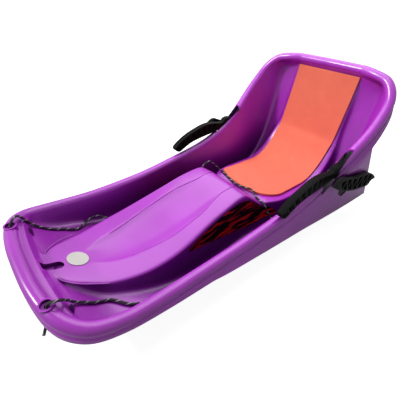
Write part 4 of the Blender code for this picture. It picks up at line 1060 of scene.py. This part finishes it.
class BOBSLED_OT_levers(bpy.types.Operator):
    """Both brake levers, each with its ribbed handle, arm, bridge and ice claw"""

    bl_idname = "bobsled.levers"
    bl_label = "Brake levers"

    def execute(self, context):
        look = context.scene.bobsled.lever
        parts = looks()
        nylon = moulded_nylon(look)
        hub_arc = [(PIVOT_Y + HUB_RADIUS * sin(t), PIVOT_Z + HUB_RADIUS * cos(t))
                   for t in np.linspace(*HUB_ARC, 9)]
        top = [tuple(p) for p in spline(HANDLE_TOP, 5 * len(HANDLE_TOP))]
        bottom = [tuple(p) for p in spline(HANDLE_BOTTOM, 5 * len(HANDLE_BOTTOM))]
        claw_line = [tuple(p) for p in spline(CLAW + CLAW[:1], 4 * len(CLAW))][:-1]
        for side, label in SIDES:
            span = sorted((side * HANDLE_X[0], side * HANDLE_X[1]))
            handle = plate("handle", round_tip(top, bottom, TIP_REACH) + hub_arc, span, parts)
            cut(handle, rib_pockets(span, HANDLE_TOP[:7], HANDLE_BOTTOM[:6], RIB_BAYS, parts))
            across = sorted((side * (HANDLE_X[0] + BRIDGE_IN), side * (CLAW_X[1] - BRIDGE_IN)))
            claw = sorted((side * CLAW_X[0], side * CLAW_X[1]))
            pieces = [
                handle,
                cylinder("hub", HUB_RADIUS, (span[0], PIVOT_Y, PIVOT_Z), (span[1], PIVOT_Y, PIVOT_Z), parts, 40),
                plate("arm", ARM, span, parts),
                plate("bridge", BRIDGE, across, parts),
                plate("claw", claw_line, claw, parts),
            ]
            cut(pieces[-1], rib_pockets(claw, CLAW[1:8], CLAW[:8:-1], CLAW_BAYS, parts))
            for piece in pieces:
                bevelled(piece, look.round_over)
            for piece in pieces[:3]:
                cut(piece, [cylinder("lever_bore", BORE_RADIUS, (span[0] - 5, PIVOT_Y, PIVOT_Z),
                                     (span[1] + 5, PIVOT_Y, PIVOT_Z), parts, 24)])
            lever = joined("moulded_lever_" + label, pieces, parts, nylon)
            soften(lever, 40.0)
            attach(lever, label + "_brake")
            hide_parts("brake_lever_" + label)
        steel = turned_steel()
        for side, label in SIDES:
            pin = frame["nodes"]["brake_pin_" + label]
            for slot in pin.material_slots:
                slot.material = steel
        return {"FINISHED"}


# Seat pad


class BOBSLED_OT_pad(bpy.types.Operator):
    """Foam seat pad over the platform and the back panel"""

    bl_idname = "bobsled.pad"
    bl_label = "Seat pad"

    def execute(self, context):
        look = context.scene.bobsled.pad
        parts = looks()
        seat = np.array([(row[0], row[1]) for row in STATIONS if row[0] >= PAD_FRONT - 1])
        seat = spline(seat, 4 * len(seat))
        run = np.gradient(seat, axis=0)
        run /= np.linalg.norm(run, axis=1, keepdims=True)
        normals = np.stack([-run[:, 1], run[:, 0]], axis=1)
        thick = look.thickness / MM
        top = seat + normals * (PAD_GAP + thick)
        across = PAD_HALF * np.sin(np.linspace(-pi / 2, pi / 2, PAD_COLUMNS))
        out = np.abs(across / PAD_HALF)
        draw = [depth * (1 - (1 - out ** power) ** CORNER_ROUND) for depth, power in PAD_CORNERS]
        draw = PAD_FRONT + np.where(across > 0, *draw)
        flat = int(np.searchsorted(top[:, 0], draw.max() + PAD_STRAIGHT))
        rows = []
        for share in np.arange(PAD_FRONT_ROWS) / PAD_FRONT_ROWS:
            y = draw + (top[flat][0] - draw) * share
            rows.append([(x, b, np.interp(b, top[:, 0], top[:, 1])) for x, b in zip(across, y)])
        rows += [[(x, y, z) for x in across] for y, z in top[flat:]]
        pad = mesh_object("foam_seat_pad", [p for row in rows for p in row], sheet(len(rows), len(across)), parts,
                          cross_linked_foam(look))
        modified(pad, "thickness", "SOLIDIFY", thickness=look.thickness, offset=-1.0, use_even_offset=True)
        bevelled(pad, look.round_over, 50.0)
        applied(pad)
        soften(pad, 50.0)
        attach(pad, "sled")
        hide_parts("seat_pad")
        return {"FINISHED"}


# Film panels


def wall_x(y, z, rows):
    """Half width of the middle body's side wall at a height, between two stations."""
    sides = [np.interp(-z, -row[8:11, 2], row[8:11, 0]) for row in rows]
    return np.interp(y, [row[0, 1] for row in rows], sides)


class BOBSLED_OT_panels(bpy.types.Operator):
    """Flame-printed film on the middle body's sides and the plain disc on its front"""

    bl_idname = "bobsled.panels"
    bl_label = "Film panels"

    def execute(self, context):
        look = context.scene.bobsled.panel
        parts = looks()
        vinyl = printed_film(look)
        rim = Rim()
        first, last = DECAL_BODY
        rows = [station_row(rim, station) for station in STATIONS if first < station[0] < last]
        lines = resample(spline(DECAL, 6 * len(DECAL)), DECAL_LINES)
        across = np.linspace(0.0, 1.0, DECAL_ROWS)
        for side, label in SIDES:
            points = []
            for y, low, high in lines:
                for part in across:
                    z = low + (high - low) * part
                    points.append((side * (wall_x(y, z, rows) + FILM_GAP + FILM), y, z))
            faces = [face[::side] for face in sheet(len(lines), len(across))]
            film = mesh_object("flame_film_" + label, points, faces, parts, vinyl)
            grid = film.data.uv_layers.new(name="film")
            for loop in film.data.loops:
                place = film.data.vertices[loop.vertex_index].co
                grid.data[loop.index].uv = (place.y, place.z)
            modified(film, "thickness", "SOLIDIFY", thickness=FILM * MM, offset=-1.0)
            applied(film)
            soften(film, 50.0)
            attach(film, "sled")
            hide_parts("hump_decal_" + label)
        normal = np.array([0.0, LABEL_SLOPE, 1.0]) / np.hypot(LABEL_SLOPE, 1.0)
        z = smooth([(row[0], row[1]) for row in STATIONS], 1, LABEL_Y)
        under = np.array([0.0, LABEL_Y, float(z)]) + normal * FILM_GAP
        disc = cylinder("nose_disc", LABEL_RADIUS, under, under + normal * FILM, parts, 96)
        disc.data.materials.append(plain_film(look))
        soften(disc, 40.0)
        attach(disc, "sled")
        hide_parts("nose_label")
        return {"FINISHED"}


# Tow rope


def tube(name, path, radius, sides, into, material):
    """A closed round tube along a path in millimetres, with its length in metres along U and one turn along V."""
    path = np.array(path, float)
    along = np.gradient(path, axis=0)
    along /= np.linalg.norm(along, axis=1, keepdims=True)
    walked = np.concatenate([[0.0], np.cumsum(np.linalg.norm(np.diff(path, axis=0), axis=1))])
    across = np.cross(along[0], (0.0, 0.0, 1.0))
    if np.linalg.norm(across) < 0.1:
        across = np.cross(along[0], (1.0, 0.0, 0.0))
    points = []
    for place, way in zip(path, along):
        across = across - way * (across @ way)
        across /= np.linalg.norm(across)
        other = np.cross(way, across)
        for turn in np.arange(sides) * 2 * pi / sides:
            points.append(place + radius * (across * cos(turn) + other * sin(turn)))
    faces, places = [], []
    for r in range(len(path) - 1):
        for c in range(sides):
            d = (c + 1) % sides
            faces.append([r * sides + c, r * sides + d, (r + 1) * sides + d, (r + 1) * sides + c])
            places.append([(walked[r], c), (walked[r], c + 1), (walked[r + 1], c + 1), (walked[r + 1], c)])
    last = (len(path) - 1) * sides
    faces += [list(range(sides))[::-1], [last + c for c in range(sides)]]
    places += [[(0.0, 0.0)] * sides, [(walked[-1], 0.0)] * sides]
    obj = mesh_object(name, points, faces, into, material)
    grid = obj.data.uv_layers.new(name="cord")
    flat = [uv for place in places for uv in place]
    for loop, (u, v) in zip(obj.data.loops, flat):
        grid.data[loop.index].uv = (u * MM, v / sides)
    work = bmesh.new()
    work.from_mesh(obj.data)
    bmesh.ops.recalc_face_normals(work, faces=work.faces)
    work.to_mesh(obj.data)
    work.free()
    obj.data.shade_smooth()
    return obj


def knot_path(side):
    """A stop knot: one overhand turn about the cord, then the cut tail."""
    centre = np.array([side * BOSS_X, BOSS_Y, BOSS_FOOT - KNOT_GAP - KNOT_RADIUS])
    t = np.linspace(0.0, 2 * pi, 40)
    turn = np.stack([
        (np.sin(t) + 2 * np.sin(2 * t)) * KNOT_TURN * side,
        (np.cos(t) - 2 * np.cos(2 * t)) * KNOT_TURN,
        -np.sin(3 * t) * KNOT_RISE,
    ], axis=1)
    tail = [np.array(TAIL_END) * (side, 1, 1)]
    loop = centre + turn
    return np.concatenate([loop[:-3], spline(np.array([loop[-3], (loop[-3] + tail[0]) / 2, tail[0]]), 16)[1:]])


class BOBSLED_OT_rope(bpy.types.Operator):
    """Braided tow rope through both nose holes, with its stop knots"""

    bl_idname = "bobsled.rope"
    bl_label = "Tow rope"

    def execute(self, context):
        look = context.scene.bobsled.rope
        parts = looks()
        braid = braided_polypropylene(look)
        ends = [(x, BOSS_Y, BOSS_FOOT) for x in (-BOSS_X, BOSS_X)]
        path = np.concatenate([[ends[0]], spline(ROPE_ROUTE, 8 * len(ROPE_ROUTE)), [ends[1]]])
        radius = look.diameter / 2 / MM
        rope = tube("braided_rope", path, radius, 14, parts, braid)
        for side, label in SIDES:
            knot = tube("stop_knot_" + label, knot_path(side), radius, 12, parts, braid)
            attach(knot, "sled")
            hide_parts("rope_knot_" + label)
        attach(rope, "sled")
        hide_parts("tow_rope")
        return {"FINISHED"}


# Stage


class BOBSLED_OT_stage(bpy.types.Operator):
    """Camera, pale floor, white surroundings and soft studio lamps"""

    bl_idname = "bobsled.stage"
    bl_label = "Stage"

    def execute(self, context):
        look = context.scene.bobsled.stage
        self.camera(context, look)
        self.floor()
        self.surroundings(context.scene)
        for settings in LAMPS:
            self.lamp(*settings)
        context.scene.view_settings.view_transform = "Standard"
        return {"FINISHED"}

    def camera(self, context, look):
        data = bpy.data.cameras.new("photo_camera")
        data.lens = look.lens
        data.sensor_width = 36.0
        data.clip_start, data.clip_end = 0.01, 100.0
        eye = bpy.data.objects.new("photo_camera", data)
        context.scene.collection.objects.link(eye)
        a, e, tilt = look.azimuth, look.elevation, look.roll
        ahead = Vector((-sin(a) * cos(e), cos(a) * cos(e), -sin(e)))
        right = Vector((cos(a), sin(a), 0.0))
        up = right.cross(ahead)
        x = right * cos(tilt) + up * sin(tilt)
        y = up * cos(tilt) - right * sin(tilt)
        turn = Matrix((x, y, -ahead)).transposed().to_4x4()
        eye.matrix_world = Matrix.Translation(Vector(look.place)) @ turn
        context.scene.camera = eye

    def floor(self):
        """Pale floor that shows as white and holds the shadow. The ground under the aprons has a painted
        shadow: its colour is dark and it gives no glow there, so that the lever slots and windows show shade."""
        work = bmesh.new()
        bmesh.ops.create_grid(work, x_segments=1, y_segments=1, size=FLOOR_HALF)
        floor = placed("floor", work, bpy.context.scene.collection)
        floor.location = (0.0, 0.0, -FLOOR_DROP)
        made, tree, shader = new_material("pale_floor", Roughness=0.9, Emission_Color=(1.0, 1.0, 1.0, 1.0))
        paths = node(tree, "ShaderNodeLightPath")
        dimmed = node(tree, "ShaderNodeMath", {"operation": "MULTIPLY", 1: FLOOR_MIRRORED},
                      {0: (paths, "Is Glossy Ray")})
        seen = node(tree, "ShaderNodeMath", {"operation": "MAXIMUM"},
                    {0: (paths, "Is Camera Ray"), 1: (dimmed, "Value")})
        place = node(tree, "ShaderNodeTexCoord")
        ways = node(tree, "ShaderNodeSeparateXYZ", links={"Vector": (place, "Object")})
        # Painted shadow: inside this patch the floor's colour falls to a near black tone and its glow goes out
        shares = {}
        for i, (axis, middle, half) in enumerate(PAINTED_SHADOW_PATCH):
            off = node(tree, "ShaderNodeMath", {"operation": "SUBTRACT", 1: middle}, {0: (ways, axis)})
            size = node(tree, "ShaderNodeMath", {"operation": "ABSOLUTE"}, {0: (off, "Value")})
            shares[i] = (node(tree, "ShaderNodeMath", {"operation": "DIVIDE", 1: half}, {0: (size, "Value")}),
                         "Value")
        farthest = node(tree, "ShaderNodeMath", {"operation": "MAXIMUM"}, shares)
        node(tree, "ShaderNodeMapRange", {"From Min": PAINTED_SHADOW_EDGE, "To Min": PAINTED_SHADOW_TONE, "To Max": FLOOR_TONE},
             {"Value": (farthest, "Value")}, (shader, "Base Color"))
        outside = node(tree, "ShaderNodeMapRange", {"From Min": PAINTED_SHADOW_EDGE, "To Max": FLOOR_SEEN},
                       {"Value": (farthest, "Value")})
        node(tree, "ShaderNodeMath", {"operation": "MULTIPLY"}, {0: (seen, "Value"), 1: (outside, "Result")},
             (shader, "Emission Strength"))
        floor.data.materials.append(made)

    def surroundings(self, scene):
        """White to the camera, nearly white in reflections, and a faint even fill light."""
        world = bpy.data.worlds.new("white_room")
        world.use_nodes = True
        tree = world.node_tree
        paths = node(tree, "ShaderNodeLightPath")
        direct = node(tree, "ShaderNodeMath", {"operation": "MAXIMUM"},
                      {0: (paths, "Is Camera Ray"), 1: (paths, "Is Transmission Ray")})
        mirrored = node(tree, "ShaderNodeMath", {"operation": "MULTIPLY", 1: WORLD_MIRRORED},
                        {0: (paths, "Is Glossy Ray")})
        seen = node(tree, "ShaderNodeMath", {"operation": "MAXIMUM"},
                    {0: (direct, "Value"), 1: (mirrored, "Value")})
        back = tree.nodes["Background"]
        back.inputs["Color"].default_value = (1.0, 1.0, 1.0, 1.0)
        node(tree, "ShaderNodeMapRange", {"To Min": WORLD_FILL}, {"Value": (seen, "Value")},
             (back, "Strength"))
        scene.world = world

    def lamp(self, name, kind, place, energy, settings):
        """A lamp that shines from its place towards the sled."""
        data = bpy.data.lights.new(name, kind)
        data.energy = energy
        for setting, value in settings.items():
            setattr(data, setting, value)
        lamp = bpy.data.objects.new(name, data)
        lamp.location = place
        lamp.rotation_euler = (-Vector(place)).to_track_quat("-Z", "Y").to_euler()
        bpy.context.scene.collection.objects.link(lamp)


class BOBSLED_PT_panel(bpy.types.Panel):
    """Lists the bobsled's pieces"""

    bl_label = "Bobsled"
    bl_space_type = "VIEW_3D"
    bl_region_type = "UI"
    bl_category = "Bobsled"

    def draw(self, context):
        settings = context.scene.bobsled
        for name, operator in PIECES:
            box = self.layout.box()
            group = getattr(settings, name)
            for prop in group.bl_rna.properties:
                if not prop.is_readonly and prop.identifier != "name":
                    box.prop(group, prop.identifier)
            box.operator(operator)


PIECES = (
    ("stage", "bobsled.stage"),
    ("rope", "bobsled.rope"),
    ("hull", "bobsled.hull"),
    ("lever", "bobsled.levers"),
    ("pad", "bobsled.pad"),
    ("panel", "bobsled.panels"),
)
CLASSES = (
    HullLook, PadLook, LeverLook, RopeLook, PanelLook, StageLook, BobsledSettings,
    BOBSLED_OT_stage, BOBSLED_OT_rope, BOBSLED_OT_hull, BOBSLED_OT_levers, BOBSLED_OT_pad,
    BOBSLED_OT_panels, BOBSLED_PT_panel,
)


def register():
    for kind in CLASSES:
        bpy.utils.register_class(kind)
    bpy.types.Scene.bobsled = PointerProperty(type=BobsledSettings)


def unregister():
    del bpy.types.Scene.bobsled
    for kind in reversed(CLASSES):
        bpy.utils.unregister_class(kind)


def main():
    register()
    for _, operator in PIECES:
        group, name = operator.split(".")
        getattr(getattr(bpy.ops, group), name)()


if __name__ == "__main__":
    main()
